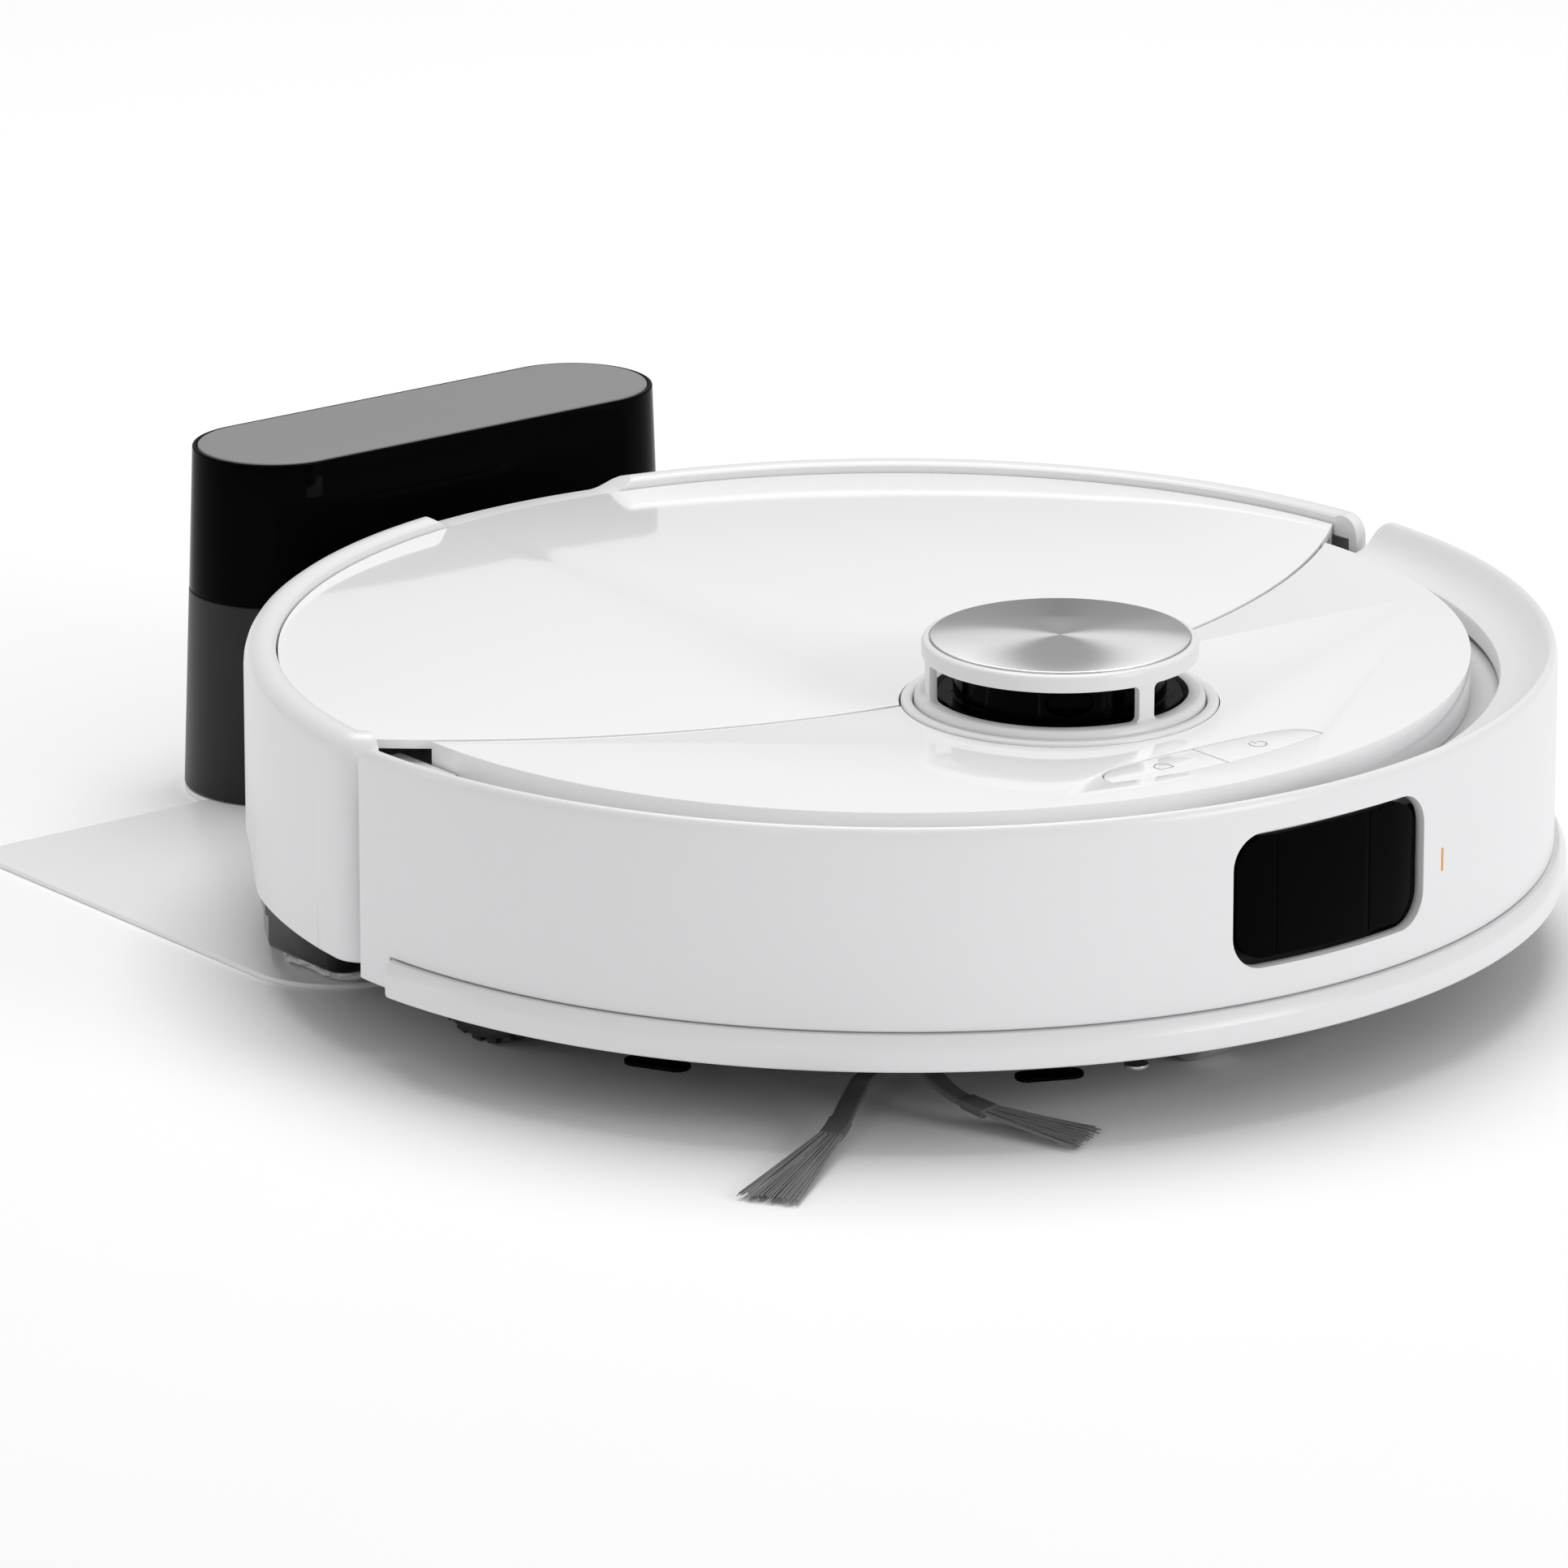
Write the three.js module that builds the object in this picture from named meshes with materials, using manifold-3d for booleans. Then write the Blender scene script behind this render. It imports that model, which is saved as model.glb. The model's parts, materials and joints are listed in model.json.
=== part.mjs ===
// A disc-shaped robot vacuum with a rear mop plate, parked on its charging dock.
// Millimetres, +Z up. The robot's front faces -Y and the dock stands behind it, at +Y.
import * as THREE from 'three';
import { mergeVertices } from 'three/addons/utils/BufferGeometryUtils.js';
import Module from 'manifold-3d';

const wasm = await Module();
wasm.setup();

// ---------------------------------------------------------------------------
// Driving sizes
// ---------------------------------------------------------------------------

const gap = 0.3;                 // between pieces that touch
const slip = 0.5;                // around pieces that lift or turn

const bodyRadius = 174;          // outer wall of bumper and rear shell
const shellWall = 3;
const bodyTop = 82.5;            // upper face of the lid
const floorClearance = 12;       // underside of the chassis

const bumperTravel = 3;
const bumperHalfAngle = 91.4;    // the bumper wraps this far each side of the front
const bumperCrest = bodyTop + 2.6;
const dishInnerRadius = bodyRadius - 15.3;   // inner edge of the bumper's dished top
const dishDepth = 7.9;
const stripBottom = 21.5;
const stripHeight = 9.6;
const stripProud = 3.3;          // how far the strip stands out from the wall
const stripHalfAngle = 87;

const shellHalfAngle = 84.4;     // the rear shell wraps this far each side of the rear
const shellBottom = 24.5;
const shellStep = 34.5;          // lower edge of the rear shell above the mop bracket
const shellStepHalfAngle = 63;
const shellEndRadius = 9;        // the ends of the rear shell curl inwards
const rimTop = bodyTop + 3;
const rimInnerRadius = bodyRadius - 8.6;
const notchHalfWidth = 28;

const seamRadius = 243.4;        // curved joint between deck and lid
const seamFront = -48;
const deckRadius = bodyRadius - 23;
const deckTop = bodyTop - 0.2;
const skin = 2.5;                // top panels
const lidSkirt = 3;

const chassisRadius = bodyRadius - 11;
const chassisWall = 2.5;
const chamferRadius = chassisRadius - 20;    // the underside slopes up outside this radius
const chamferTop = 26;
const frameBottom = bodyTop - 14.5;          // the deck frame that closes the chassis
const rearFloor = 24.5;          // raised floor over the mop bracket
const rearFloorFront = 44;

const turretY = -67;
const turretTop = bodyTop + 17.7;
const cageRadius = 36.2;
const capRadius = cageRadius - 2.2;
const cageTravel = 1.5;
const cageWindowBottom = bodyTop + 2.7;
const cageWindowTop = turretTop - 5.2;
const cageSkirtRadius = cageRadius + 1.8;
const wellRing = 3;              // width of the trim ring around the turret
const postAngles = [0, 115, -115];
const drumRadius = cageRadius - 8.2;
const lensAngle = -34;
const lensWidth = 12;
const lensHeight = 7;

const buttonHalfWidth = 35;
const buttonFrontRadius = 135.6;
const buttonDepth = 14.4;

const windowHalfWidth = 33;
const windowBottom = 42.3;
const windowHeight = 32.2;
const windowCorner = 8;

const wheelRadius = 33;
const wheelWidth = 24;
const wheelX = chassisRadius - 33;
const tyreThickness = 9;
const armWidth = 20;
const pivotY = -44;
const pivotZ = 42;
const axleRadius = 4;

const casterY = 33 - chassisRadius;
const casterWheelRadius = 11;
const casterWheelWidth = 14;
const casterTrail = 5;
const casterRadius = 17.5;

const rollerRadius = 20;
const rollerLength = 152;
const rollerY = -50;
const rollerLift = 5.5;          // the side brush sweeps under the roller
const rollerZ = rollerLift + rollerRadius;
const rollerFins = 6;

const sideBrushX = -80;
const sideBrushY = -106;
const sideBrushHub = 8;
const sideBrushPocket = 34;
const pocketCeiling = 18;

const binHalfWidth = 80;
const binFront = 3;
const binDepth = 74;
const binTop = 66;
const binWall = 2;
const tankDepth = 58;
const tankWall = 2;
const tankRadius = chassisRadius - 7;
const fillerX = 40;
const fillerRadius = 6;

const blowerX = 113;
const blowerY = 72;
const blowerRadius = 26;

const bracketRadius = bodyRadius - 3.5;
const bracketHalfWidth = bracketRadius - 19.5;
const bracketFront = 46.5;
const bracketBottom = 6.6;
const clothInset = 7.5;
const clothThickness = 4.4;

const padX = 22;
const padWidth = 12;
const padHeight = 8;
const padZ = 46;

const dockHalfStraight = 51;
const dockBaseRadius = 26.4;
const dockTopRadius = dockBaseRadius - 3.6;
const dockGap = 13.4;            // between the parked robot and the block
const dockY = bodyRadius + dockGap + dockBaseRadius;
const dockTop = 98.9;
const dockSplit = 58;
const dockWall = 2.5;
const dockRim = 1.2;
const plateThickness = 1.5;
const plateHalfWidth = bracketHalfWidth + 4.5;
const plateFront = bracketFront + 3.9;
const plateBack = dockY - 2.8;
const plateFrontCorner = 27;
const plateBackCorner = 12;

// ---------------------------------------------------------------------------
// Finishes
// ---------------------------------------------------------------------------

const finish = (color, roughness, metalness = 0) =>
  new THREE.MeshStandardMaterial({ color, roughness, metalness });

const whiteSatin = () => finish(0xe9e9ec, 0.45);
const whiteGloss = () => finish(0xf4f4f6, 0.12);
const blackGloss = () => finish(0x0b0b0d, 0.08);
const blackSatin = () => finish(0x141416, 0.5);
const greyPlastic = () => finish(0x8e8f93, 0.55);
const darkRubber = () => finish(0x3a3a3d, 0.8);
const bristleGrey = () => finish(0x77787b, 0.85);
const brushedSteel = () => finish(0xc9cacd, 0.3, 1);
const brass = () => finish(0xcaa24b, 0.35, 1);
const boardGreen = () => finish(0x1f5a3a, 0.6);
const clearSmoke = () => finish(0x5c6068, 0.2);
const whiteCloth = () => finish(0xf2f1ee, 0.95);

// ---------------------------------------------------------------------------
// Shapes
// ---------------------------------------------------------------------------

const radians = THREE.MathUtils.degToRad;
const flatness = 0.16;           // how far a chord may stray from its circle
const bodySegments = 76;         // shared by every ring about the robot's centre

/** Segments that a full circle of this radius needs, a multiple of four. */
const segmentsFor = (radius) =>
  4 * Math.max(3, Math.ceil(Math.PI / (4 * Math.acos(1 - flatness / Math.max(radius, 1)))));

/** Point on a circle, its angle counted from the front (-Y) towards +X. */
const polar = (radius, angle) =>
  new THREE.Vector2(radius * Math.sin(radians(angle)), -radius * Math.cos(radians(angle)));

/** Turn a closed three.js geometry into a solid that can be joined and cut. */
function solid(geometry) {
  const bare = geometry.clone();
  bare.deleteAttribute('normal');
  bare.deleteAttribute('uv');
  const merged = mergeVertices(bare, 1e-4);
  const position = merged.attributes.position;
  const corner = [new THREE.Vector3(), new THREE.Vector3(), new THREE.Vector3()];
  const triangles = [];
  let volume = 0;
  for (let i = 0; i < merged.index.count; i += 3) {
    const [a, b, c] = [0, 1, 2].map((k) => merged.index.getX(i + k));
    if (a === b || b === c || c === a) continue;
    triangles.push([a, b, c]);
    [a, b, c].forEach((vertex, k) => corner[k].fromBufferAttribute(position, vertex));
    volume += corner[0].dot(corner[1].clone().cross(corner[2]));
  }
  if (volume < 0) triangles.forEach((triangle) => triangle.reverse());
  return new wasm.Manifold(new wasm.Mesh({
    numProp: 3,
    vertProperties: Float32Array.from(position.array),
    triVerts: Uint32Array.from(triangles.flat()),
  }));
}

/** Turn a solid back into a three.js geometry. */
function geometryOf(shape) {
  const mesh = shape.getMesh();
  const geometry = new THREE.BufferGeometry();
  geometry.setAttribute('position', new THREE.BufferAttribute(Float32Array.from(mesh.vertProperties), 3));
  geometry.setIndex(new THREE.BufferAttribute(Uint32Array.from(mesh.triVerts), 1));
  geometry.computeVertexNormals();
  return geometry;
}

/** Box between two opposite corners. */
function block([x0, y0, z0], [x1, y1, z1]) {
  const geometry = new THREE.BoxGeometry(x1 - x0, y1 - y0, z1 - z0);
  geometry.translate((x0 + x1) / 2, (y0 + y1) / 2, (z0 + z1) / 2);
  return solid(geometry);
}

/** Upright cylinder. */
function post(x, y, radius, z0, z1, segments = segmentsFor(radius)) {
  const geometry = new THREE.CylinderGeometry(radius, radius, z1 - z0, segments);
  geometry.rotateX(Math.PI / 2);
  geometry.translate(x, y, (z0 + z1) / 2);
  return solid(geometry);
}

/** Cylinder that lies along X. */
function shaft(x0, x1, y, z, radius, segments = segmentsFor(radius)) {
  const geometry = new THREE.CylinderGeometry(radius, radius, x1 - x0, segments);
  geometry.rotateZ(Math.PI / 2);
  geometry.translate((x0 + x1) / 2, y, z);
  return solid(geometry);
}

/** Solid turned about an upright axis from a profile of [radius, height] points. */
function turned(profile, segments = bodySegments, x = 0, y = 0) {
  const points = profile.map(([radius, height]) => new THREE.Vector2(radius, height));
  const onAxis = profile[0][0] === 0 && profile[profile.length - 1][0] === 0;
  if (!onAxis) points.push(points[0].clone());
  const geometry = new THREE.LatheGeometry(points, segments);
  geometry.rotateX(Math.PI / 2);
  geometry.translate(x, y, 0);
  return solid(geometry);
}

/** Add an arc to an outline as chords. */
function arc(outline, x, y, radius, from, to) {
  const steps = Math.max(2, Math.ceil((segmentsFor(radius) * Math.abs(to - from)) / (2 * Math.PI)));
  const points = Array.from({ length: steps + 1 }, (_, i) => {
    const angle = from + ((to - from) * i) / steps;
    return new THREE.Vector2(x + radius * Math.cos(angle), y + radius * Math.sin(angle));
  });
  const start = outline.curves.length === 0 ? 'moveTo' : 'lineTo';
  outline[start](points[0].x, points[0].y);
  points.slice(1).forEach((point) => outline.lineTo(point.x, point.y));
}

/** Upright prism of an outline. */
function prism(outline, z0, z1) {
  const geometry = new THREE.ExtrudeGeometry(outline, { depth: z1 - z0, bevelEnabled: false });
  geometry.translate(0, 0, z0);
  return solid(geometry);
}

/** Prism of an outline drawn in X and Z that runs along Y. */
function prismAlongY(outline, y0, y1) {
  const options = { depth: y1 - y0, bevelEnabled: false, curveSegments: 8 };
  const geometry = new THREE.ExtrudeGeometry(outline, options);
  geometry.rotateX(Math.PI / 2);
  geometry.translate(0, y1, 0);
  return solid(geometry);
}

/** Tall wedge that holds everything between two angles, counted from the front. */
function wedge(from, to) {
  const reach = 2 * bodyRadius;
  const steps = 6;
  const outline = new THREE.Shape();
  outline.moveTo(0, 0);
  for (let i = 0; i <= steps; i += 1) {
    const point = polar(reach, from + ((to - from) * i) / steps);
    outline.lineTo(point.x, point.y);
  }
  return prism(outline, -10, 2 * turretTop);
}

/** Rectangle with rounded corners between two opposite corners. */
function roundedRectangle(x0, y0, x1, y1, radius) {
  const outline = new THREE.Shape();
  arc(outline, x1 - radius, y0 + radius, radius, -Math.PI / 2, 0);
  arc(outline, x1 - radius, y1 - radius, radius, 0, Math.PI / 2);
  arc(outline, x0 + radius, y1 - radius, radius, Math.PI / 2, Math.PI);
  arc(outline, x0 + radius, y0 + radius, radius, Math.PI, 1.5 * Math.PI);
  return outline;
}

/** Outline of two half circles joined by straight sides, centred on the origin. */
function stadium(halfStraight, radius) {
  const outline = new THREE.Shape();
  arc(outline, halfStraight, 0, radius, -Math.PI / 2, Math.PI / 2);
  arc(outline, -halfStraight, 0, radius, Math.PI / 2, 1.5 * Math.PI);
  return outline;
}

/** Strip swept along a curve, its width and thickness given at the start and the end. */
function ribbon(curve, widths, thicknesses, steps = 8) {
  const geometry = new THREE.BoxGeometry(1, 1, 1, steps, 1, 1);
  const position = geometry.attributes.position;
  const up = new THREE.Vector3(0, 0, 1);
  for (let i = 0; i < position.count; i += 1) {
    const t = position.getX(i) + 0.5;
    const side = new THREE.Vector3().crossVectors(up, curve.getTangent(t)).normalize();
    const point = curve.getPoint(t);
    point.addScaledVector(side, position.getY(i) * THREE.MathUtils.lerp(...widths, t));
    point.z += position.getZ(i) * THREE.MathUtils.lerp(...thicknesses, t);
    position.setXYZ(i, point.x, point.y, point.z);
  }
  return solid(geometry);
}

const join = (...shapes) => shapes.reduce((sum, shape) => sum.add(shape));

/** Name a solid and put it in a group as a mesh. */
function piece(group, name, shape, material) {
  const mesh = new THREE.Mesh(geometryOf(shape), material);
  mesh.name = name;
  group.add(mesh);
  return mesh;
}

// ---------------------------------------------------------------------------
// Outlines that several pieces share
// ---------------------------------------------------------------------------

const seamCentreY = seamFront + seamRadius;
const wellRadius = cageSkirtRadius + slip + wellRing;

/** Everything behind the curved joint between the deck and the lid. */
const behindSeam = (clearance) =>
  post(0, seamCentreY, seamRadius - clearance, -10, 2 * turretTop, 2 * bodySegments);

/** Opening for the turret, in the robot's frame. */
const turretHole = (clearance) =>
  post(0, turretY, wellRadius + clearance, -10, 2 * turretTop);

/** Outline of the button pair, cut from a ring about the robot's centre. */
function buttonOutline(grow) {
  const front = buttonFrontRadius + grow;
  const half = buttonHalfWidth + grow;
  const rear = -buttonFrontRadius + buttonDepth + grow;
  const tipY = -Math.sqrt(front * front - half * half);
  const shoulder = half * 0.7;
  const outline = new THREE.Shape();
  const frontAngle = Math.atan2(tipY, -half);
  arc(outline, 0, 0, front, frontAngle, -Math.PI - frontAngle);
  outline.quadraticCurveTo(half, rear - 2, shoulder, rear - 1);
  outline.quadraticCurveTo(0, rear + 1, -shoulder, rear - 1);
  outline.quadraticCurveTo(-half, rear - 2, -half, tipY);
  return outline;
}

/** D-shaped outline of the mop, drawn in by a margin all round. */
function mopOutline(inset) {
  const half = bracketHalfWidth - inset;
  const radius = bracketRadius - inset;
  const front = bracketFront + inset;
  const corner = 6;
  const sideY = Math.sqrt(radius * radius - half * half);
  const start = Math.atan2(sideY, half);
  const outline = new THREE.Shape();
  arc(outline, half - corner, front + corner, corner, -Math.PI / 2, 0);
  arc(outline, 0, 0, radius, start, Math.PI - start);
  arc(outline, -half + corner, front + corner, corner, Math.PI, 1.5 * Math.PI);
  return outline;
}

/** Outline of the tank bay: as wide as the bin, with a round back. */
function tankBay(clearance) {
  const front = binFront + binDepth + 2 * (slip + binWall) - clearance;
  const box = block(
    [-binHalfWidth - clearance, front, rearFloor],
    [binHalfWidth + clearance, front + tankDepth + 2 * clearance, frameBottom + 10],
  );
  return box.intersect(post(0, 0, tankRadius + clearance, -10, 2 * turretTop, bodySegments));
}

// ---------------------------------------------------------------------------
// Chassis
// ---------------------------------------------------------------------------

const wallTop = frameBottom - gap;
const frameTop = frameBottom + chassisWall;
const tunnelHalfWidth = rollerLength / 2 + 4;
const tunnelHalfDepth = rollerRadius + 5.5;
const tunnelTop = rollerZ + rollerRadius + 3.5;

function chassisOutside() {
  return turned([
    [0, floorClearance], [chamferRadius, floorClearance],
    [chassisRadius, chamferTop], [chassisRadius, wallTop], [0, wallTop],
  ]);
}

function chassisTray() {
  const inside = turned([
    [0, floorClearance + chassisWall], [chamferRadius - 1, floorClearance + chassisWall],
    [chassisRadius - chassisWall, chamferTop + 1], [chassisRadius - chassisWall, wallTop + 1],
    [0, wallTop + 1],
  ]);
  const outside = chassisOutside();
  const low = outside.subtract(inside).subtract(
    block([-bodyRadius, rearFloorFront, 0], [bodyRadius, bodyRadius, rearFloor]),
  );
  const rear = outside.intersect(
    block(
      [-bodyRadius, rearFloorFront - chassisWall, rearFloor],
      [bodyRadius, bodyRadius, rearFloor + chassisWall],
    ),
  );
  const riser = outside.intersect(
    block([-bodyRadius, rearFloorFront - chassisWall, 0], [bodyRadius, rearFloorFront, rearFloor + 1]),
  );
  const tunnel = brushTunnel();
  const socket = casterSocket();
  const pocket = sideBrushPocketShell();
  return join(low, rear, riser, tunnel.walls, socket.walls, pocket.walls)
    .subtract(tunnel.space)
    .subtract(socket.space)
    .subtract(pocket.space)
    .subtract(wheelWell(-1))
    .subtract(wheelWell(1))
    .subtract(sensorPort());
}

function brushTunnel() {
  const walls = block(
    [-tunnelHalfWidth - chassisWall, rollerY - tunnelHalfDepth - chassisWall, floorClearance],
    [tunnelHalfWidth + chassisWall, rollerY + tunnelHalfDepth + chassisWall, tunnelTop + chassisWall],
  );
  const space = block(
    [-tunnelHalfWidth, rollerY - tunnelHalfDepth, floorClearance - 2],
    [tunnelHalfWidth, rollerY + tunnelHalfDepth, tunnelTop],
  );
  return { walls, space };
}

const casterTop = 2 * casterWheelRadius + 1;
const casterPlate = 4;

function casterSocket() {
  const top = casterTop + casterPlate + 1;
  const outer = casterRadius + 1 + chassisWall;
  const walls = post(0, casterY, outer, floorClearance, top + chassisWall);
  const cup = post(0, casterY, casterRadius + 1, floorClearance - 2, top);
  const space = cup.add(post(0, casterY, axleRadius + gap, top - 1, top + chassisWall + 1));
  return { walls, space };
}

function sideBrushPocketShell() {
  const rim = sideBrushPocket + chassisWall;
  const top = pocketCeiling + chassisWall;
  const walls = post(sideBrushX, sideBrushY, rim, floorClearance, top).intersect(chassisOutside());
  const cup = post(sideBrushX, sideBrushY, sideBrushPocket, floorClearance - 2, pocketCeiling);
  const bore = post(sideBrushX, sideBrushY, axleRadius + gap, pocketCeiling - 1, top + 1);
  return { walls, space: cup.add(bore) };
}

const armInner = wheelX - wheelWidth / 2 - 2 - armWidth;

function wheelWell(side) {
  const inner = armInner - 4;
  const outer = wheelX + wheelWidth / 2 + 4;
  const x = side < 0 ? [-outer, -inner] : [inner, outer];
  return block([x[0], pivotY - 9, 0], [x[1], wheelRadius + 5, chamferTop + 6]);
}

/** Cut in the front wall that the camera module looks out of. */
function sensorPort() {
  return block(
    [-windowHalfWidth + 2, -bodyRadius, windowBottom],
    [windowHalfWidth - 2, -chassisRadius + 20, wallTop + 1],
  );
}

function deckFrame() {
  const plate = turned([
    [0, frameBottom], [chassisRadius, frameBottom], [chassisRadius, frameTop], [0, frameTop],
  ]);
  const ledge = turned([
    [deckRadius + 7, frameTop - 0.5], [chassisRadius, frameTop - 0.5],
    [chassisRadius, lidUnderside - gap - lidSkirt], [deckRadius + 7, lidUnderside - gap - lidSkirt],
  ]).intersect(wedge(180 - shellHalfAngle + 4, 180 + shellHalfAngle - 4));
  const bayOuter = block(
    [-binHalfWidth - slip - 2 * binWall, binFront - slip - 2 * binWall, rearFloor + chassisWall + gap],
    [binHalfWidth + slip + 2 * binWall, bodyRadius, frameBottom + 1],
  ).intersect(post(0, 0, chassisRadius - chassisWall - gap, -10, 2 * turretTop, bodySegments));
  const binSpace = block(
    [-binHalfWidth - slip - binWall, binFront - slip - binWall, 0],
    [binHalfWidth + slip + binWall, binFront + binDepth + slip, 2 * turretTop],
  );
  return join(plate, ledge, bayOuter)
    .subtract(binSpace)
    .subtract(tankBay(slip))
    .subtract(post(0, turretY, headStem + 2, -10, 2 * turretTop));
}

// ---------------------------------------------------------------------------
// Outer shells and top panels
// ---------------------------------------------------------------------------

const lidUnderside = bodyTop - skin;
const stripTop = stripBottom + stripHeight;

function windowOutline(grow) {
  return roundedRectangle(
    -windowHalfWidth - grow, windowBottom - grow,
    windowHalfWidth + grow, windowBottom + windowHeight + grow, windowCorner + grow,
  );
}

function frontBumper() {
  const inner = bodyRadius - shellWall;
  const dishFloor = bumperCrest - dishDepth;
  const wall = turned([
    [inner - shellWall, stripBottom + 1], [inner, stripBottom + 1], [inner, stripTop + gap],
    [bodyRadius, stripTop + gap], [bodyRadius, bumperCrest - 3], [bodyRadius - 0.4, bumperCrest - 1],
    [bodyRadius - 1.8, bumperCrest], [bodyRadius - 3, bumperCrest - 0.8], [bodyRadius - 6, bumperCrest - 4.4],
    [bodyRadius - 10, dishFloor + 0.9], [dishInnerRadius + 1, dishFloor], [dishInnerRadius, dishFloor - 1],
    [dishInnerRadius, frameTop + 1.5], [dishInnerRadius + 2, frameTop + 1.5],
    [dishInnerRadius + 2, dishFloor - 2.5], [inner - 3, dishFloor - 2.5], [inner, dishFloor - 5.5],
    [inner, stripTop + shellWall], [inner - shellWall, stripTop + shellWall],
  ]);
  const skirt = turned([
    [inner, stripBottom + 1], [bodyRadius, stripBottom + 1],
    [bodyRadius, stripTop + 1], [inner, stripTop + 1],
  ]);
  const ends = [-1, 1].map((side) => skirt.intersect(
    wedge(side * (stripHalfAngle + 0.2), side * bumperHalfAngle),
  ));
  return join(wall.intersect(wedge(-bumperHalfAngle, bumperHalfAngle)), ...ends)
    .subtract(prismAlongY(windowOutline(gap), -bodyRadius - 5, -bodyRadius + 30));
}

function bumperStrip() {
  const inner = bodyRadius - shellWall + gap;
  const ring = turned([
    [inner, stripBottom], [bodyRadius + stripProud - 0.8, stripBottom],
    [bodyRadius + stripProud, stripBottom + 6.3], [bodyRadius + 1.6, stripTop], [inner, stripTop],
  ]);
  return ring.intersect(wedge(-stripHalfAngle, stripHalfAngle));
}

const windowDepth = 4.6;         // from the bumper's wall to the back of the window
const eyeSetback = 2.5;          // the window's curve over the sensors' width, and a gap

function sensorWindow() {
  const inner = bodyRadius - windowDepth;
  const outer = inner + shellWall;
  const top = windowBottom + windowHeight + 5;
  const ring = turned([[inner, windowBottom - 5], [outer, windowBottom - 5], [outer, top], [inner, top]]);
  return ring.intersect(prismAlongY(windowOutline(0), -bodyRadius - 5, -bodyRadius + 30));
}

/** The wall at each end of the rear shell turns inwards through a quarter circle. */
function shellEnd(side) {
  const centreX = bodyRadius - shellEndRadius;
  const centreY = bodyRadius * Math.cos(radians(shellHalfAngle));
  const ring = turned([
    [shellEndRadius - shellWall, shellBottom], [shellEndRadius, shellBottom],
    [shellEndRadius, rimTop - 1.2], [0, rimTop - 1.2], [0, rimTop - 6],
    [shellEndRadius - shellWall, rimTop - 6],
  ], segmentsFor(shellEndRadius) + 4, centreX * side, centreY);
  const outer = side * bodyRadius;
  const inner = side * centreX;
  return ring.intersect(block(
    [Math.min(inner, outer), centreY - shellEndRadius - 1, 0],
    [Math.max(inner, outer), centreY + 1, 2 * turretTop],
  ));
}

function rearShell() {
  const inner = bodyRadius - shellWall;
  const wall = turned([
    [inner, shellBottom], [bodyRadius, shellBottom], [bodyRadius, rimTop - 5.5],
    [bodyRadius - 0.8, rimTop - 2.5], [bodyRadius - 3, rimTop - 0.5],
    [bodyRadius - 5.5, rimTop], [rimInnerRadius + 1, rimTop - 0.5],
    [rimInnerRadius, rimTop - 1.9], [rimInnerRadius, rimTop - 6], [inner, rimTop - 6],
  ]);
  const step = turned([
    [inner - 5, 0], [bodyRadius + 5, 0], [bodyRadius + 5, shellStep], [inner - 5, shellStep],
  ]).intersect(wedge(180 - shellStepHalfAngle, 180 + shellStepHalfAngle));
  const notch = block(
    [-notchHalfWidth, rimInnerRadius - 20, rimTop - 4],
    [notchHalfWidth, bodyRadius + 5, rimTop + 5],
  );
  const slots = [-1, 1].map((side) => padBlock(side, gap, -20, 10));
  return join(wall.intersect(wedge(180 - shellHalfAngle, 180 + shellHalfAngle)), shellEnd(-1), shellEnd(1))
    .subtract(step)
    .subtract(notch)
    .subtract(slots[0])
    .subtract(slots[1]);
}

function padBlock(side, grow, back, front) {
  const x = side * padX;
  return block(
    [x - padWidth / 2 - grow, bodyRadius + back, padZ - padHeight / 2 - grow],
    [x + padWidth / 2 + grow, bodyRadius + front, padZ + padHeight / 2 + grow],
  );
}

function lid() {
  const disc = turned([
    [0, lidUnderside], [rimInnerRadius - slip, lidUnderside], [rimInnerRadius - slip, bodyTop - 0.5],
    [rimInnerRadius - slip - 0.5, bodyTop], [0, bodyTop],
  ]);
  const skirt = turned([
    [rimInnerRadius - slip - 3, lidUnderside - lidSkirt], [rimInnerRadius - slip, lidUnderside - lidSkirt],
    [rimInnerRadius - slip, lidUnderside + 0.5], [rimInnerRadius - slip - 3, lidUnderside + 0.5],
  ]);
  return disc.add(skirt)
    .intersect(behindSeam(slip))
    .subtract(turretHole(slip));
}

function deckPanel() {
  const disc = turned([
    [0, deckTop - skin], [deckRadius, deckTop - skin], [deckRadius, deckTop - 0.8],
    [deckRadius - 0.8, deckTop], [0, deckTop],
  ]);
  const skirt = turned([
    [deckRadius - skin, frameTop + gap], [deckRadius, frameTop + gap],
    [deckRadius, deckTop - skin + 0.5], [deckRadius - skin, deckTop - skin + 0.5],
  ]);
  return disc.add(skirt)
    .subtract(behindSeam(-slip))
    .subtract(turretHole(gap))
    .subtract(prism(buttonOutline(slip), 0, 2 * turretTop));
}

function button(side) {
  const divider = 0.3;
  const half = block(
    [side < 0 ? -bodyRadius : divider, -bodyRadius, deckTop - 4],
    [side < 0 ? -divider : bodyRadius, 0, deckTop + 4],
  );
  return prism(buttonOutline(0), deckTop - skin, deckTop).intersect(half);
}

// ---------------------------------------------------------------------------
// Laser turret, built about its own axis
// ---------------------------------------------------------------------------

const headStem = 10;
const turretSegments = segmentsFor(cageSkirtRadius);

function wellTrim() {
  const inner = cageSkirtRadius + slip;
  return turned([
    [inner, frameTop + gap], [wellRadius, frameTop + gap], [wellRadius, bodyTop + 0.5],
    [wellRadius - 0.7, bodyTop + 0.9], [inner + 0.7, bodyTop + 0.9], [inner, bodyTop + 0.3],
  ], turretSegments);
}

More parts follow.
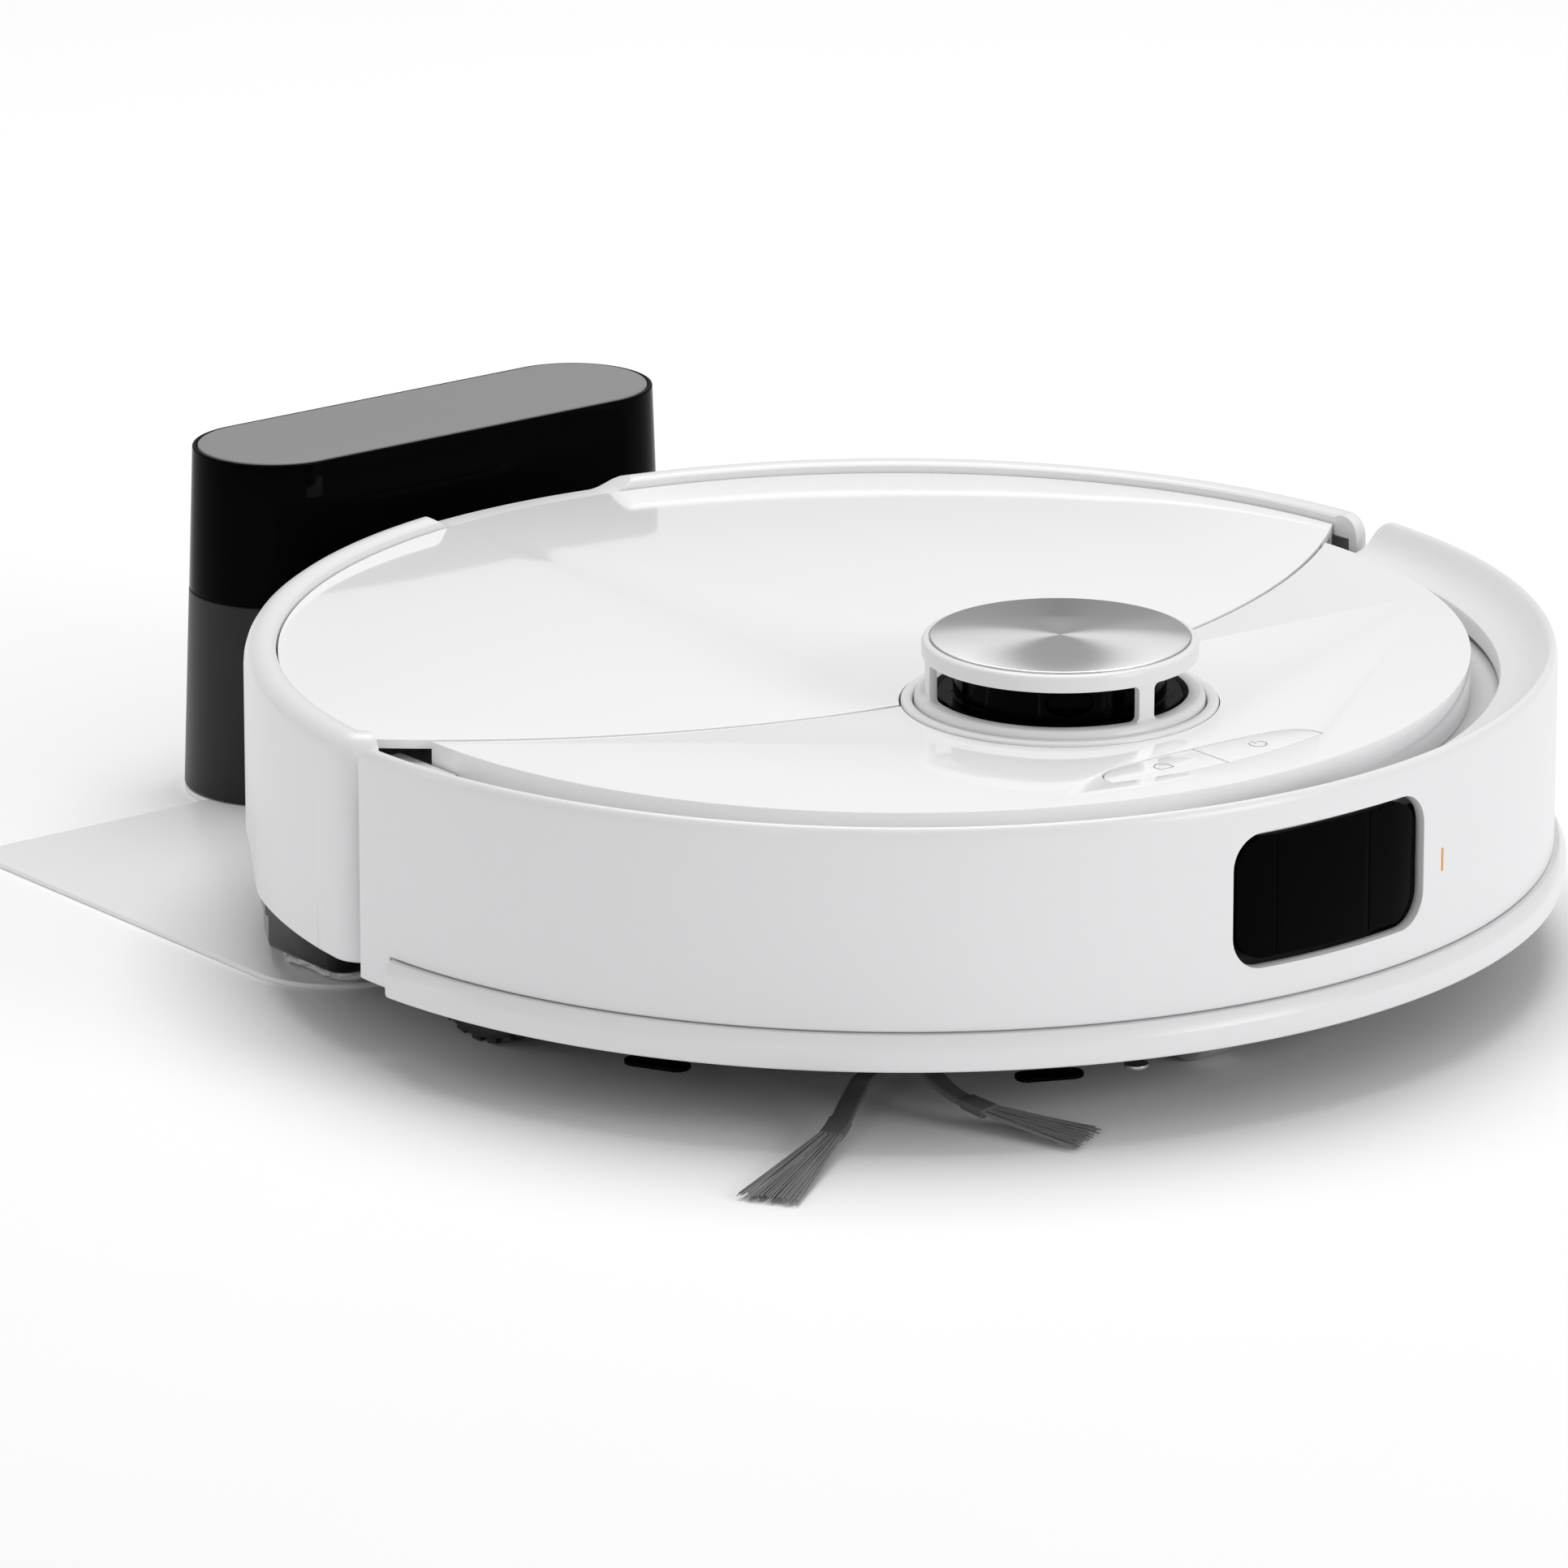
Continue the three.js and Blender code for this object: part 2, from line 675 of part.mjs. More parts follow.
function lidarCage() {
  const foot = frameTop + cageTravel + 2;
  const lower = turned([
    [cageSkirtRadius - 2.8, foot], [cageSkirtRadius, foot], [cageSkirtRadius, cageWindowBottom - 1],
    [cageSkirtRadius - 1.2, cageWindowBottom], [cageSkirtRadius - 2.8, cageWindowBottom],
  ], turretSegments);
  const capSeat = turretTop - 1;
  const upper = turned([
    [0, cageWindowTop + 2.4], [cageRadius - 2.6, cageWindowTop + 2.4], [cageRadius - 2.6, cageWindowTop],
    [cageRadius, cageWindowTop], [cageRadius, turretTop - 1.6], [cageRadius - 1.2, turretTop - 0.5],
    [capRadius + gap, turretTop - 0.5], [capRadius + gap, capSeat], [0, capSeat],
  ], turretSegments);
  const ring = turned([
    [cageRadius - 2.6, cageWindowBottom - 2], [cageRadius - 0.2, cageWindowBottom - 2],
    [cageRadius - 0.2, cageWindowTop + 1], [cageRadius - 2.6, cageWindowTop + 1],
  ], turretSegments);
  const posts = postAngles.map((angle) => ring.intersect(wedge(angle - 4, angle + 4)));
  return join(lower, upper, ...posts);
}

function lidarCap() {
  return turned([[0, turretTop - 0.7], [capRadius, turretTop - 0.7], [capRadius, turretTop - 0.2],
    [capRadius - 0.3, turretTop], [0, turretTop]], turretSegments);
}

const drumTop = cageWindowTop + 1 - cageTravel;
const drumFloor = cageWindowBottom - 0.2;

function lensBlock(grow, inner, outer) {
  const height = (drumTop + drumFloor) / 2;
  const outline = new THREE.Shape();
  outline.absellipse(0, height, lensWidth / 2 + grow, lensHeight / 2 + grow, 0, 2 * Math.PI);
  return prismAlongY(outline, -drumRadius - outer, -drumRadius + inner);
}

function lidarHead() {
  const body = turned([
    [0, frameBottom - 4], [headStem, frameBottom - 4], [headStem, frameTop + 3],
    [cageRadius - 4, drumFloor - 3], [cageRadius - 4, drumFloor],
    [drumRadius, drumFloor], [drumRadius, drumTop], [0, drumTop],
  ], turretSegments);
  return body.subtract(lensBlock(gap, 4, 5));
}

// ---------------------------------------------------------------------------
// Wheels and caster
// ---------------------------------------------------------------------------

const wheelInner = wheelX - wheelWidth / 2;
const wheelOuter = wheelX + wheelWidth / 2;

/** Suspension arm with its motor, about the wheel's own place on the left side. */
function suspensionArm() {
  const outline = new THREE.Shape();
  outline.moveTo(pivotY - 6, pivotZ - 10);
  outline.lineTo(pivotY - 6, pivotZ + 8);
  outline.lineTo(pivotY + 20, pivotZ + 18);
  outline.lineTo(10, pivotZ + 18);
  outline.lineTo(20, wheelRadius + 8);
  outline.lineTo(20, wheelRadius - 11);
  outline.lineTo(-20, wheelRadius - 11);
  const geometry = new THREE.ExtrudeGeometry(outline, { depth: armWidth, bevelEnabled: false });
  geometry.rotateX(Math.PI / 2);
  geometry.rotateZ(Math.PI / 2);
  geometry.translate(armInner, 0, 0);
  return solid(geometry).add(shaft(armInner + 1, wheelOuter - 2, 0, wheelRadius, axleRadius));
}

function wheelHub() {
  const rim = wheelRadius - tyreThickness - gap;
  return shaft(wheelInner + gap, wheelOuter - gap, 0, wheelRadius, rim)
    .subtract(shaft(wheelInner - 1, wheelOuter - 2 + slip, 0, wheelRadius, axleRadius + gap))
    .subtract(shaft(wheelOuter - 3, wheelOuter + 1, 0, wheelRadius, rim - 4).subtract(
      shaft(wheelOuter - 4, wheelOuter + 2, 0, wheelRadius, axleRadius + 4),
    ));
}

function tyre() {
  const chamfer = 2;
  const rim = wheelRadius - tyreThickness;
  const points = [
    [rim, wheelInner], [wheelRadius - chamfer, wheelInner], [wheelRadius, wheelInner + chamfer],
    [wheelRadius, wheelOuter - chamfer], [wheelRadius - chamfer, wheelOuter], [rim, wheelOuter],
  ].map(([radius, x]) => new THREE.Vector2(radius, x));
  points.push(points[0].clone());
  const geometry = new THREE.LatheGeometry(points, segmentsFor(wheelRadius));
  geometry.rotateZ(-Math.PI / 2);
  geometry.translate(0, 0, wheelRadius);
  return solid(geometry);
}

/** Caster pieces about the swivel axis. */
function casterFork() {
  const cheek = 3;
  const inner = casterWheelWidth / 2 + slip;
  const plate = post(0, 0, casterRadius, casterTop, casterTop + casterPlate);
  const stem = post(0, 0, axleRadius, casterTop + 1, casterTop + casterPlate + 6);
  const cheeks = [-1, 1].map((side) => block(
    [side < 0 ? -inner - cheek : inner, casterTrail - 5, casterWheelRadius - 4],
    [side < 0 ? -inner : inner + cheek, casterTrail + 5, casterTop + 1],
  ));
  const bore = shaft(-casterRadius, casterRadius, casterTrail, casterWheelRadius, 1.5 + gap);
  return join(plate, stem, ...cheeks).subtract(bore);
}

function casterWheel() {
  const half = casterWheelWidth / 2;
  return shaft(-half, half, casterTrail, casterWheelRadius, casterWheelRadius)
    .subtract(shaft(-half - 1, half + 1, casterTrail, casterWheelRadius, 1.5 + gap));
}

// ---------------------------------------------------------------------------
// Brushes
// ---------------------------------------------------------------------------

/** Roller whose fins lean both ways from the middle, like a chevron. */
function brushRoller() {
  const core = 10;
  const halfFin = 1;
  const outline = new THREE.Shape();
  for (let i = 0; i < rollerFins; i += 1) {
    const angle = (i * 2 * Math.PI) / rollerFins;
    const spread = halfFin / core;
    const tip = halfFin / rollerRadius;
    [[core, angle - spread], [rollerRadius, angle - tip], [rollerRadius, angle + tip], [core, angle + spread]]
      .forEach(([radius, a], k) => {
        const draw = i === 0 && k === 0 ? 'moveTo' : 'lineTo';
        outline[draw](radius * Math.cos(a), radius * Math.sin(a));
      });
  }
  const options = { depth: rollerLength, steps: 12, bevelEnabled: false };
  const geometry = new THREE.ExtrudeGeometry(outline, options);
  geometry.translate(0, 0, -rollerLength / 2);
  const position = geometry.attributes.position;
  const lead = radians(100) / (rollerLength / 2);
  for (let i = 0; i < position.count; i += 1) {
    const point = new THREE.Vector3().fromBufferAttribute(position, i);
    point.applyAxisAngle(new THREE.Vector3(0, 0, 1), lead * Math.abs(point.z));
    position.setXYZ(i, point.x, point.y, point.z);
  }
  geometry.rotateY(Math.PI / 2);
  return solid(geometry);
}

function brushGuard() {
  const frame = block(
    [-tunnelHalfWidth - 4, rollerY - tunnelHalfDepth - 4, floorClearance - gap - 2.5],
    [tunnelHalfWidth + 4, rollerY + tunnelHalfDepth + 4, floorClearance - gap],
  );
  const opening = block(
    [-tunnelHalfWidth + 2, rollerY - tunnelHalfDepth + 4, 0],
    [tunnelHalfWidth - 2, rollerY + tunnelHalfDepth - 4, floorClearance],
  );
  return frame.subtract(opening);
}

/** Curves of the two swept arms, from the hub to the bristle tips. */
const longArm = new THREE.CatmullRomCurve3([
  new THREE.Vector3(-5, -0.6, 12.4), new THREE.Vector3(-17, -2.6, 9.8), new THREE.Vector3(-24, -6.4, 7),
  new THREE.Vector3(-40, -19, 4.4), new THREE.Vector3(-56, -28, 2.6), new THREE.Vector3(-80, -42.5, 1.4),
]);
const shortArm = new THREE.CatmullRomCurve3([
  new THREE.Vector3(-1.4, -5, 12.4), new THREE.Vector3(-3.2, -14, 10), new THREE.Vector3(-2.6, -23, 7),
  new THREE.Vector3(1.8, -37, 4.2), new THREE.Vector3(7, -47, 2.4), new THREE.Vector3(13.6, -56, 1.4),
]);
const rubberShare = 0.5;         // share of an arm that is moulded rubber

/** Stretch of a curve between two shares of its length. */
function stretch(curve, from, to) {
  const points = [];
  for (let i = 0; i <= 10; i += 1) points.push(curve.getPointAt(from + ((to - from) * i) / 10));
  return new THREE.CatmullRomCurve3(points);
}

function brushArm(curve) {
  const band = ribbon(stretch(curve, 0, rubberShare), [5.4, 5.4], [2, 1.8]);
  const sleeve = ribbon(stretch(curve, rubberShare - 0.13, rubberShare), [6, 7], [2.4, 2.6], 3);
  return band.add(sleeve).subtract(post(0, 0, sideBrushHub + gap, 0, 40));
}

function bristleTuft(curve, spread) {
  return ribbon(stretch(curve, rubberShare + 0.005, 1), [4.5, spread], [2.2, 1.2]);
}

function sideBrushHubShape() {
  return post(0, 0, sideBrushHub, 9.6, pocketCeiling - 1)
    .add(post(0, 0, axleRadius, pocketCeiling - 2, pocketCeiling + chassisWall));
}

// ---------------------------------------------------------------------------
// Dust, air, power and water
// ---------------------------------------------------------------------------

const bayFloor = rearFloor + chassisWall + gap;

function dustbinTub() {
  const back = binFront + binDepth;
  const outer = block([-binHalfWidth, binFront, bayFloor], [binHalfWidth, back, binTop]);
  const inner = block(
    [-binHalfWidth + binWall, binFront + binWall, bayFloor + binWall],
    [binHalfWidth - binWall, back - binWall, binTop + 1],
  );
  return outer.subtract(inner);
}

function dustbinCover() {
  const back = binFront + binDepth;
  const plate = block([-binHalfWidth, binFront, binTop + gap], [binHalfWidth, back, binTop + gap + 3]);
  const middle = binFront + binDepth / 2;
  const handle = block([-28, middle - 5, binTop + 3], [28, middle + 5, binTop + 11]);
  const grip = block([-23, middle - 6, binTop + 3.3], [23, middle + 6, binTop + 8]);
  return plate.add(handle.subtract(grip));
}

function dustbinFilter() {
  const inset = binWall + gap;
  const right = binHalfWidth - inset;
  const frame = block(
    [right - 14, binFront + 12, bayFloor + inset],
    [right, binFront + binDepth - 12, binTop - 4],
  );
  const pleats = [];
  const pitch = 5;
  for (let y = binFront + 16; y < binFront + binDepth - 18; y += pitch) {
    pleats.push(block([right - 15, y, bayFloor + 6], [right - 4, y + pitch / 2, binTop - 8]));
  }
  return pleats.reduce((shape, pleat) => shape.subtract(pleat), frame);
}

const fillerY = binFront + binDepth + 30;

function waterTank() {
  const outer = tankBay(0).intersect(block(
    [-bodyRadius, 0, bayFloor],
    [bodyRadius, bodyRadius, frameBottom],
  ));
  const inner = tankBay(-tankWall).intersect(block(
    [-bodyRadius, 0, bayFloor + tankWall],
    [bodyRadius, bodyRadius, frameBottom - tankWall],
  ));
  const filler = post(fillerX, fillerY, fillerRadius, frameBottom - 5, frameBottom + 1);
  return outer.subtract(inner).subtract(filler);
}

/** Rubber plug with a rim that rests on the tank. */
function tankPlug() {
  return post(fillerX, fillerY, fillerRadius + 2, frameBottom + gap, frameBottom + 5)
    .add(post(fillerX, fillerY, fillerRadius - gap, frameBottom - tankWall, frameBottom + 1));
}

function blowerHousing() {
  const outer = turned([
    [0, bayFloor], [blowerRadius, bayFloor], [blowerRadius, bayFloor + 30], [0, bayFloor + 30],
  ], segmentsFor(blowerRadius));
  const inner = turned([
    [0, bayFloor + 2.5], [blowerRadius - 2.5, bayFloor + 2.5], [blowerRadius - 2.5, bayFloor + 27.5],
    [0, bayFloor + 27.5],
  ], segmentsFor(blowerRadius));
  return outer.subtract(inner).subtract(post(0, 0, 10, bayFloor + 20, bayFloor + 40));
}

function blowerImpeller() {
  const hub = post(0, 0, 6, bayFloor + 4, bayFloor + 22);
  const disc = post(0, 0, blowerRadius - 4, bayFloor + 4, bayFloor + 6);
  const blades = [];
  const count = 7;
  for (let i = 0; i < count; i += 1) {
    const blade = new THREE.BoxGeometry(blowerRadius - 9, 1.2, 15);
    blade.translate((blowerRadius - 9) / 2 + 4.5, 0, bayFloor + 13);
    blade.rotateZ((i * 2 * Math.PI) / count);
    blades.push(solid(blade));
  }
  return join(hub, disc, ...blades);
}

function mainBoard() {
  const area = block([-72, -bodyRadius, 50], [72, turretY - 45, 70]);
  const board = post(0, 0, chassisRadius - 13, 58, 59.6, bodySegments).intersect(area);
  const chips = [[-50, -122, 16], [-18, -124, 12], [14, -124, 18], [46, -122, 12]];
  return join(board, ...chips.map(([x, y, size]) => block([x, y, 59], [x + size, y + size / 2, 62])));
}

function sensorModule() {
  const front = windowDepth + bumperTravel + eyeSetback - bodyRadius;
  const back = front + 12;
  const middle = windowBottom + windowHeight / 2;
  const body = block([-28, front + 4, middle - 11], [28, back, middle + 8]);
  const eyes = [-20, 0, 20].map((x) => {
    const eye = new THREE.CylinderGeometry(5, 5, 6, segmentsFor(5));
    eye.translate(x, front + 3, middle);
    return solid(eye);
  });
  return join(body, ...eyes);
}

// ---------------------------------------------------------------------------
// Mop
// ---------------------------------------------------------------------------

function mopBracket() {
  const wall = 3;
  const top = rearFloor - gap;
  const tray = prism(mopOutline(0), bracketBottom, top)
    .subtract(prism(mopOutline(wall), bracketBottom + wall, top + 1));
  const rim = turned([
    [chassisRadius + 2, top - 3], [bracketRadius, top - 3],
    [bracketRadius, shellStep - gap], [chassisRadius + 2, shellStep - gap],
  ]).intersect(wedge(180 - shellStepHalfAngle + 1, 180 + shellStepHalfAngle - 1));
  return tray.add(rim);
}

function mopCloth() {
  const top = bracketBottom - gap;
  return prism(mopOutline(clothInset), top - clothThickness, top);
}

// ---------------------------------------------------------------------------
// Dock, built about the middle of its block
// ---------------------------------------------------------------------------

const dockBase = plateThickness + gap;

/** Radius of the dock's rounded ends at a height. */
const dockRadiusAt = (z) =>
  THREE.MathUtils.mapLinear(z, dockBase, dockTop, dockBaseRadius, dockTopRadius);

/** Tapering stadium, drawn in by a margin all round. */
function dockBlock(z0, z1, inset) {
  const outline = stadium(dockHalfStraight, dockBaseRadius);
  const geometry = new THREE.ExtrudeGeometry(outline, { depth: z1 - z0, bevelEnabled: false });
  geometry.translate(0, 0, z0);
  const position = geometry.attributes.position;
  for (let i = 0; i < position.count; i += 1) {
    const x = position.getX(i);
    const centre = THREE.MathUtils.clamp(x, -dockHalfStraight, dockHalfStraight);
    const share = (dockRadiusAt(position.getZ(i)) - inset) / dockBaseRadius;
    position.setX(i, centre + (x - centre) * share);
    position.setY(i, position.getY(i) * share);
  }
  return solid(geometry);
}

/** Slot through the front wall that a charging tongue moves in. */
function tongue(side, grow, y0, y1) {
  const half = padWidth / 2 - 2 + grow;
  const tall = padHeight / 2 - 1 + grow;
  return block([side * padX - half, y0, padZ - tall], [side * padX + half, y1, padZ + tall]);
}

const inletZ = 14;
const inletHalfWidth = 7;

function dockLower() {
  const back = dockBaseRadius;
  return dockBlock(dockBase, dockSplit, 0)
    .subtract(dockBlock(dockBase + dockWall, dockSplit + 1, dockWall))
    .subtract(tongue(-1, gap, -dockBaseRadius - 5, 0))
    .subtract(tongue(1, gap, -dockBaseRadius - 5, 0))
    .subtract(block(
      [-inletHalfWidth - gap, back - 10, inletZ - 5 - gap],
      [inletHalfWidth + gap, back + 5, inletZ + 5 + gap],
    ));
}

function dockUpper() {
  const base = dockSplit + gap;
  return dockBlock(base, dockTop - gap, 0)
    .subtract(dockBlock(base - 1, dockTop - 5.5, dockWall))
    .subtract(dockBlock(dockTop - 2.5, dockTop + 1, dockRim));
}

function dockTopPanel() {
  return dockBlock(dockTop - 2.2, dockTop, dockRim + gap);
}

function dockPlate() {
  const front = plateFront - dockY;
  const back = plateBack - dockY;
  const outline = new THREE.Shape();
  const w = plateHalfWidth;
  const r = plateFrontCorner;
  const s = plateBackCorner;
  arc(outline, w - r, front + r, r, -Math.PI / 2, 0);
  arc(outline, w - s, back - s, s, 0, Math.PI / 2);
  arc(outline, -w + s, back - s, s, Math.PI / 2, Math.PI);
  arc(outline, -w + r, front + r, r, Math.PI, 1.5 * Math.PI);
  return prism(outline, 0, plateThickness).add(
    prism(stadium(dockHalfStraight, dockBaseRadius), 0, plateThickness),
  );
}

function dockInlet() {
  const back = dockBaseRadius - 1;
  const body = block(
    [-inletHalfWidth, back - 14, inletZ - 5],
    [inletHalfWidth, back, inletZ + 5],
  );
  const cavity = block(
    [-inletHalfWidth + 2, back - 9, inletZ - 3],
    [inletHalfWidth - 2, back + 1, inletZ + 3],
  );
  return body.subtract(cavity);
}

// ---------------------------------------------------------------------------
// Assembly
// ---------------------------------------------------------------------------

function buildBody(robot) {
  piece(robot, 'chassis_tray', chassisTray(), blackSatin());
  piece(robot, 'deck_frame', deckFrame(), greyPlastic());
  piece(robot, 'rear_shell', rearShell(), whiteSatin());
  piece(robot, 'deck_panel', deckPanel(), whiteGloss());
  piece(robot, 'lid', lid(), whiteGloss());
  piece(robot, 'home_button', button(-1), whiteGloss());
  piece(robot, 'power_button', button(1), whiteGloss());
  piece(robot, 'front_bumper', frontBumper(), whiteSatin());
  piece(robot, 'bumper_strip', bumperStrip(), whiteSatin());
  piece(robot, 'sensor_window', sensorWindow(), blackGloss());
  piece(robot, 'sensor_module', sensorModule(), blackSatin());
  piece(robot, 'main_board', mainBoard(), boardGreen());
  for (const [side, name] of [[-1, 'right'], [1, 'left']]) {
    const magnet = post(side * 120, 95, 4, lidUnderside - 3.3, lidUnderside - gap);
    piece(robot, `lid_magnet_${name}`, magnet, brushedSteel());
    piece(robot, `charge_pad_${name}`, padBlock(side, 0, -7, -1.1), brass());
    const mount = new THREE.Group();
    mount.rotation.z = radians(side * 35);
    robot.add(mount);
    const face = -chassisRadius - gap;         // the bumper comes back to 2 mm from the switch
    piece(mount, `bumper_switch_${name}`, block([-5, face - 3.2, 50], [5, face, 56]), blackSatin());
  }
}

function buildTurret(robot) {
  const turret = new THREE.Group();
  turret.position.y = turretY;
  robot.add(turret);
  piece(turret, 'turret_well_ring', wellTrim(), whiteSatin());
  piece(turret, 'lidar_cage', lidarCage(), whiteSatin());
  piece(turret, 'lidar_cap', lidarCap(), brushedSteel());
  piece(turret, 'lidar_motor', post(26, 0, 11, tunnelTop + chassisWall + 1, wallTop), greyPlastic());
  const head = new THREE.Group();
  head.rotation.z = radians(lensAngle);
  turret.add(head);
  piece(head, 'lidar_head', lidarHead(), blackGloss());
  piece(head, 'lidar_lens', lensBlock(0, 3, -0.8), blackGloss());
}

function buildWheels(robot) {
  for (const [side, name] of [[-1, 'right'], [1, 'left']]) {
    const wheel = new THREE.Group();
    wheel.scale.x = side;
    robot.add(wheel);
    piece(wheel, `suspension_arm_${name}`, suspensionArm(), blackSatin());
    piece(wheel, `wheel_hub_${name}`, wheelHub(), greyPlastic());
    piece(wheel, `tyre_${name}`, tyre(), darkRubber());
  }
  const caster = new THREE.Group();
  caster.position.y = casterY;
  robot.add(caster);
  piece(caster, 'caster_fork', casterFork(), blackSatin());
  piece(caster, 'caster_wheel', casterWheel(), greyPlastic());
  const axleHalf = casterWheelWidth / 2 + slip + 3;
  const axle = shaft(-axleHalf, axleHalf, casterTrail, casterWheelRadius, 1.5);
  piece(caster, 'caster_axle', axle, brushedSteel());
}

function buildBrushes(robot) {
  const roller = new THREE.Group();
  roller.position.set(0, rollerY, rollerZ);
  robot.add(roller);
  piece(roller, 'brush_roller', brushRoller(), darkRubber());
  const end = rollerLength / 2 + gap;
  piece(roller, 'brush_end_cap', shaft(-tunnelHalfWidth + gap, -end, 0, 0, 8), greyPlastic());
  piece(robot, 'brush_guard', brushGuard(), blackSatin());
  const motorFront = rollerY - tunnelHalfDepth - chassisWall - gap;
  const motorBottom = floorClearance + chassisWall + gap;
  const motor = block([24, motorFront - 24, motorBottom], [78, motorFront, motorBottom + 30]);
  piece(robot, 'brush_motor', motor, greyPlastic());
  const side = new THREE.Group();
  side.position.set(sideBrushX, sideBrushY, 0);
  robot.add(side);
  piece(side, 'side_brush_hub', sideBrushHubShape(), darkRubber());
  piece(side, 'side_brush_arm_long', brushArm(longArm), darkRubber());
  piece(side, 'side_brush_arm_short', brushArm(shortArm), darkRubber());
  piece(side, 'side_brush_tuft_long', bristleTuft(longArm, 15), bristleGrey());
  piece(side, 'side_brush_tuft_short', bristleTuft(shortArm, 17), bristleGrey());
  const pocketTop = pocketCeiling + chassisWall;
  piece(side, 'side_brush_motor', post(0, 0, 13, pocketTop + gap, pocketTop + 24), greyPlastic());
}

function buildServices(robot) {
  piece(robot, 'dustbin_tub', dustbinTub(), clearSmoke());
  piece(robot, 'dustbin_cover', dustbinCover(), greyPlastic());
  piece(robot, 'dustbin_filter', dustbinFilter(), whiteCloth());
  piece(robot, 'water_tank', waterTank(), clearSmoke());
  piece(robot, 'tank_cap', tankPlug(), darkRubber());
  const inner = binHalfWidth + slip + 2 * binWall + 2;
  const battery = block([-inner - 35, 40, bayFloor], [-inner, 102, frameBottom - 4]);
  piece(robot, 'battery_pack', battery, blackSatin());
  const blower = new THREE.Group();
  blower.position.set(blowerX, blowerY, 0);
  robot.add(blower);
  piece(blower, 'blower_housing', blowerHousing(), greyPlastic());
  piece(blower, 'blower_impeller', blowerImpeller(), blackSatin());
  piece(robot, 'mop_bracket', mopBracket(), blackGloss());
  piece(robot, 'mop_cloth', mopCloth(), whiteCloth());
}

function buildDock() {
  const dock = new THREE.Group();
  dock.position.y = dockY;
  piece(dock, 'dock_plate', dockPlate(), whiteSatin());
  piece(dock, 'dock_lower_housing', dockLower(), blackSatin());
  piece(dock, 'dock_upper_housing', dockUpper(), blackGloss());
  piece(dock, 'dock_top_panel', dockTopPanel(), greyPlastic());
  piece(dock, 'dock_inlet', dockInlet(), blackSatin());
  const padFace = bodyRadius - 1.1 + gap - dockY;
  for (const [side, name] of [[-1, 'right'], [1, 'left']]) {
    piece(dock, `dock_contact_${name}`, tongue(side, 0, padFace, -dockBaseRadius + 12), brass());
  }
  return dock;
}

const robot = new THREE.Group();
buildBody(robot);
buildTurret(robot);
buildWheels(robot);
buildBrushes(robot);
buildServices(robot);

const vacuum = new THREE.Group();
vacuum.add(robot, buildDock());
// The origin lies under the middle of the whole outline, on the floor.
vacuum.position.y = (bodyRadius + stripProud - (dockY + dockBaseRadius)) / 2;

const model = new THREE.Group();
model.add(vacuum);

export default model;
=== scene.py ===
"""Studio scene of a disc-shaped robot vacuum parked on its charging dock.

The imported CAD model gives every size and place. This script gives each visible part its fine shape
and its finish, and sets up a plain studio around it.
"""

import json
import logging
import math
import random
from contextlib import contextmanager
from dataclasses import dataclass
from enum import Enum
from typing import Callable, Iterator, Sequence

import bmesh
import bpy
from mathutils import Matrix, Vector


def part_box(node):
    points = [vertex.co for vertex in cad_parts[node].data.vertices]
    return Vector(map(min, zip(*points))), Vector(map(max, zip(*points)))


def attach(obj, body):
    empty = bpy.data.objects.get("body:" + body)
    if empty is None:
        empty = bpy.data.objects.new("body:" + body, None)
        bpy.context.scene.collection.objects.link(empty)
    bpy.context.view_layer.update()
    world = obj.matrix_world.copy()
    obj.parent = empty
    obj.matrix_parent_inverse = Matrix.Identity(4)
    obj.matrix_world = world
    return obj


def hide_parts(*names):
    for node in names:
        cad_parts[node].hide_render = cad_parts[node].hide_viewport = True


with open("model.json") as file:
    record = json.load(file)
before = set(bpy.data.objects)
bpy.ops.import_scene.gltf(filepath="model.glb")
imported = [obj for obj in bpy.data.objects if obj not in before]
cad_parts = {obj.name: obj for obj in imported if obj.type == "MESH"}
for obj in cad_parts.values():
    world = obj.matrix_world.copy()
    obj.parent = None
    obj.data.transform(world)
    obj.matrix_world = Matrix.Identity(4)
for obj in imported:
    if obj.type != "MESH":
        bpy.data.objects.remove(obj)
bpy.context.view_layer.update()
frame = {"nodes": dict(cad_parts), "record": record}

log = logging.getLogger("robot_vacuum")

MM = 0.001
FULL_TURN = 2 * math.pi
FINE = 360  # steps in a full turn of the large shells
UP = Vector((0.0, 0.0, 1.0))

Object = bpy.types.Object
Material = bpy.types.Material
Profile = Sequence[tuple[float, float]]


# ---------------------------------------------------------------------------
# Bench: modelling steps made with Blender's own operators
# ---------------------------------------------------------------------------


def focus(obj: Object) -> None:
    """Make one object the only selected and active one.

    Args:
        obj: The object to work on.
    """
    bpy.ops.object.select_all(action="DESELECT")
    obj.select_set(True)
    bpy.context.view_layer.objects.active = obj


@contextmanager
def editing(obj: Object, kind: str = "VERT") -> Iterator[bmesh.types.BMesh]:
    """Open an object in edit mode with nothing selected.

    Args:
        obj: The object to edit.
        kind: Select mode, VERT, EDGE or FACE.

    Returns:
        The edit mesh, for picking by place.
    """
    focus(obj)
    bpy.ops.object.mode_set(mode="EDIT")
    bpy.ops.mesh.select_mode(type=kind)
    bpy.ops.mesh.select_all(action="DESELECT")
    yield bmesh.from_edit_mesh(obj.data)
    bpy.ops.object.mode_set(mode="OBJECT")


